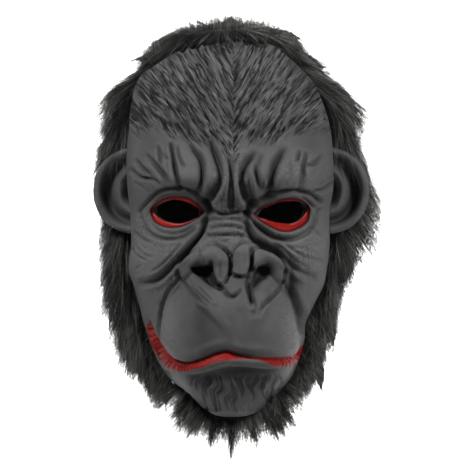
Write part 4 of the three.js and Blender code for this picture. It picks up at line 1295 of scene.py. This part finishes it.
def buildHoodFur():
    points, triangles = undercoat("hoodUndercoat", "hood_fur")
    middle = points[triangles].mean(1)
    away = (unit(crossOf(points[triangles])) * unit(middle - headMiddle)).sum(1)
    forward = -middle[:, 1] / mm
    outside = (away > 0.25).astype(float)
    edge = outside * zone("front", forward) + (away > -0.2) * (forward > furZones["front"][1]) * 1.0
    batches = [("hoodFur", furShape["hoodStrands"], outside, 4, 0),
               ("fringeFur", furShape["frontStrands"], edge, 1, 0),
               ("wispFur", furShape["wispStrands"], outside, 1, 1)]
    for name, count, weights, parts, loose in batches:
        spots, normals = scatter(points, triangles, count, weights)
        inTheClear = clearOfEars(spots)
        spots, normals = spots[inTheClear], normals[inTheClear]
        spots, normals = spots[np.argsort(spots[:, 2])], normals[np.argsort(spots[:, 2])]
        guides, _ = scatter(points, triangles, furShape["locks"], weights + 1e-9)
        lockTint = rng.random(len(guides)) ** 1.5
        group = closestOf(spots, guides)
        flow = furFlow(spots, normals)
        x, up = spots[:, 0] / mm, (spots[:, 2] - eyeLine) / mm
        crown = zone("crown", up)
        out = np.abs(x)
        sweep = zone("sweepOut", x) * zone("sweepLow", up) * zone("sweepHigh", up)
        tucked = zone("tuckedOut", x) * zone("tuckedLow", up)
        corner = crown * zone("cornerOut", out) * zone("cornerEnd", out)
        shoulder = zone("shoulderLow", up) * zone("shoulderHigh", up) * zone("shoulderOut", out)
        shoulder *= np.where(x > 0, 0.85, 0.7)
        droop = (corner * (1 - shoulder))[:, None]
        lengths = furShape["length"] * mm * rng.uniform(0.45, 1.1, len(spots))
        lengths = lengths * (1 + furLonger["sweep"] * sweep + furLonger["loose"] * loose)
        lengths *= ((1 + furLonger["crown"] * crown) * (1 + furLonger["corner"] * corner)
                    * (1 + furLonger["hem"] * zone("hem", up)) * (1 + furLonger["shoulder"] * shoulder))
        lengths *= 1 + furLonger["tucked"] * tucked
        turn = rng.normal(0, furShape["lockTurn"], (len(guides), 3))[group]
        turn = turn + rng.normal(0, 0.06 + 0.2 * loose, (len(spots), 3))
        lift = (furLift["all"] + furLift["crown"] * crown + furLift["sweep"] * sweep
                + furLift["tucked"] * tucked + furLift["loose"] * loose)[:, None]
        start = unit(flow + normals * lift + turn + np.array([0.6, 0, 0]) * sweep[:, None]
                     - np.array([0, 0, 0.5]) * droop
                     + sideBySide(np.sign(x) * 0.8, -0.3, 0.35) * shoulder[:, None])
        hang = np.array([0, 0, -1.0]) * (1 - 0.55 * crown)[:, None] + flow * (0.35 + 0.5 * crown)[:, None]
        end = unit(hang + normals * 0.12 + turn + np.array([0.45, 0, 0]) * sweep[:, None]
                   - np.array([0, 0, 0.7]) * droop
                   + sideBySide(np.sign(x) * 0.3, 0, -0.3) * shoulder[:, None])
        gather = (guides[group] - spots) * (0.8 - 0.7 * loose)
        radius = furShape["radius"] * rng.uniform(0.75, 1.25, len(spots)) * (1 - 0.25 * loose)
        tint = np.clip(0.7 * lockTint[group] + 0.3 * rng.random(len(spots)), 0, 1)
        for k in range(parts):
            part = slice(k * len(spots) // parts, (k + 1) * len(spots) // parts)
            settings = [values[part] for values in (spots, start, end, lengths, gather, radius, tint)]
            strands(name + (str(k + 1) if parts > 1 else ""), "hood_fur", *settings)


def buildBeardFur():
    points, triangles = undercoat("beardUndercoat", "beard_fur")
    count = furShape["beardStrands"]
    chinMiddle = np.array([4 * mm, -35 * mm, eyeLine - 105 * mm])
    spots, normals = scatter(points, triangles, count, np.ones(len(triangles)))
    guides, _ = scatter(points, triangles, furShape["beardLocks"], np.ones(len(triangles)))
    group = closestOf(spots, guides)
    away = unit((spots - chinMiddle) * np.array([1, 0.3, 1]))
    turn = rng.normal(0, furShape["lockTurn"], (len(guides), 3))[group] + rng.normal(0, 0.12, (count, 3))
    start = unit(away + normals * 0.35 + turn)
    end = unit(away + turn * 1.5 + np.array([0, 0.05, -0.25]))
    lengths = furShape["beardLength"] * mm * (0.25 + 0.85 * rng.random(count) ** 2.6)
    gather = (guides[group] - spots) * 0.4
    radius = furShape["radius"] * rng.uniform(0.6, 1.0, count)
    tint = np.clip(0.6 * rng.random(len(guides))[group] + 0.4 * rng.random(count), 0, 1)
    strands("beardFur", "beard_fur", spots, start, end, lengths, gather, radius, tint)


def buildEdgeFur():  # hair on the cloth beside the latex, rooted outside its edge
    points, triangles = pointsOf(lining.data), trianglesOf(lining.data)
    middle = points[triangles].mean(1)
    away = (unit(crossOf(points[triangles])) * unit(middle - headMiddle)).sum(1)
    weights = (away > 0.1) * (middle[:, 1] < -5 * mm) + 1e-9
    spots, normals = scatter(points, triangles, furShape["edgeStrands"] * 8, weights)
    x, up = spots[:, 0] / mm, (spots[:, 2] - eyeLine) / mm
    table = faceShape["sections"][::-1]
    heights = [row["end"] for row in table]
    reach = np.where(x < 0, np.interp(up, heights, [row["right"] for row in table]),
                     np.interp(up, heights, [row["left"] for row in table]))
    top = furShape["edgeTop"]
    beyond = np.where(up > top, up - top, np.abs(x) - reach * 1.02)
    chosen = (beyond > 0) & (beyond < furShape["edgeBand"]) & (spots[:, 1] < -8 * mm) & clearOfEars(spots)
    chosen = np.flatnonzero(chosen)[:furShape["edgeStrands"]]
    spots, normals, x, up = spots[chosen], normals[chosen], x[chosen], up[chosen]
    count = len(spots)
    outward = unit(sideBySide(x, 0, up + 25))
    high = zone("edgeHigh", up)
    turn = rng.normal(0, 0.2, (count, 3))
    away = outward * (0.4 + 0.5 * high)[:, None] + np.array([0, 0.3, 0]) + sideBySide(0, 0, -0.8 * (1 - high))
    start = unit(away + normals * 0.55 + turn)
    end = unit(away + turn + sideBySide(0, 0, -0.5 * (1 - high)))
    lengths = furShape["edgeLength"] * mm * rng.uniform(0.45, 1.15, count)
    radius = furShape["radius"] * rng.uniform(0.7, 1.1, count)
    strands("edgeFur", "hood_fur", spots, start, end, lengths, rng.normal(0, 1.5 * mm, (count, 3)), radius,
            rng.random(count) ** 1.5)


def buildJawFur():  # hair from under the latex's lower edge, from one jaw corner round the chin to the other
    count = furShape["jawStrands"]
    around = rng.random(count)
    right, left = around < 0.36, around > 0.64
    t, s = np.ones(count), rng.uniform(-1, 1, count)
    t[right | left] = rng.uniform(0.66, 1, (right | left).sum())
    s[right], s[left] = -1.0, 1.0
    x, forward, up = plainForm(t, s)
    outward = unit(sideBySide(x, 0, (up + 90) * 0.8))
    roots = place(x, forward - 3 - rng.uniform(0, 14, count), up) - outward * rng.uniform(0, 5, (count, 1)) * mm
    turn = rng.normal(0, 0.24, (count, 3))
    start = unit(outward * 0.9 + np.array([0, 0.35, -0.55]) + turn)
    end = unit(outward * 0.4 + np.array([0, 0.3, -0.8]) + turn)
    lengths = furShape["beardLength"] * mm * rng.uniform(0.35, 0.9, count)
    radius = furShape["radius"] * rng.uniform(0.7, 1.1, count)
    strands("jawFur", "beard_fur", roots, start, end, lengths, rng.normal(0, 2 * mm, (count, 3)), radius,
            rng.random(count) ** 1.5)


buildHoodFur()
buildBeardFur()
buildEdgeFur()
buildJawFur()
print("fur done")


# camera, straight in front, so that one pixel is 0.8 mm at the photograph's focus
bpy.ops.object.camera_add()
camera = bpy.context.object
spread = photo["width"] * photo["scale"]
camera.data.sensor_width = photo["sensor"]
camera.data.lens = photo["sensor"] * photo["distance"] / spread
camera.location = (lookX * mm, -(photo["focus"] + photo["distance"]) * mm, eyeLine + lookUp * mm)
camera.rotation_euler = (math.radians(90), 0, 0)
camera.data.clip_end = 20
bpy.context.scene.camera = camera

# pale floor that runs up into a backdrop, in metres
stage = dict(down=1.0, back=2.2, wide=7.0, front=3.0, bend=0.8, high=3.5, tone=(0.85, 0.85, 0.85, 1))


def buildStage():
    bend = [(stage["back"] + stage["bend"] * math.sin(a), stage["bend"] * (1 - math.cos(a)))
            for a in np.linspace(0, math.pi / 2, 12)]
    profile = [(-stage["front"], 0)] + bend + [(stage["back"] + stage["bend"], stage["high"])]
    points = [(side * stage["wide"] / 2, y, z - stage["down"]) for y, z in profile for side in (-1, 1)]
    faces = [(2 * i, 2 * i + 1, 2 * i + 3, 2 * i + 2) for i in range(len(profile) - 1)]
    mesh = bpy.data.meshes.new("floor")
    mesh.from_pydata(points, [], faces)
    mesh.update()
    floor = bpy.data.objects.new("floor", mesh)
    bpy.context.collection.objects.link(floor)
    finish = Finish("pale floor")
    floor.data.materials.append(finish.surface(Base_Color=stage["tone"], Roughness=0.9))


buildStage()

world = bpy.data.worlds.new("studio")
bpy.context.scene.world = world
world.use_nodes = True
background = world.node_tree.nodes["Background"]
background.inputs["Color"].default_value = (1, 1, 1, 1)
background.inputs["Strength"].default_value = 0.17

lights = tableOf(
    "name at size power spread aim",
    ("keyLight", (-1.1, -0.85, 1.25), 0.5, 20, 120),
    ("fillLight", (1.3, -0.75, 0.75), 0.6, 14, 120),
    ("backdropLight", (0, 0.6, 0.9), 1.6, 260, 100, (0, 3.0, 0.1)),
)
for light in lights:
    bpy.ops.object.light_add(type="AREA", location=light["at"])
    lamp = bpy.context.object
    lamp.name = light["name"]
    lamp.data.size = light["size"]
    lamp.data.energy = light["power"]
    lamp.data.spread = math.radians(light["spread"])
    aim = Vector(light.get("aim", (0, -0.08, eyeLine)))
    lamp.rotation_euler = (aim - lamp.location).to_track_quat("-Z", "Y").to_euler()

bpy.context.scene.view_settings.view_transform = "Standard"
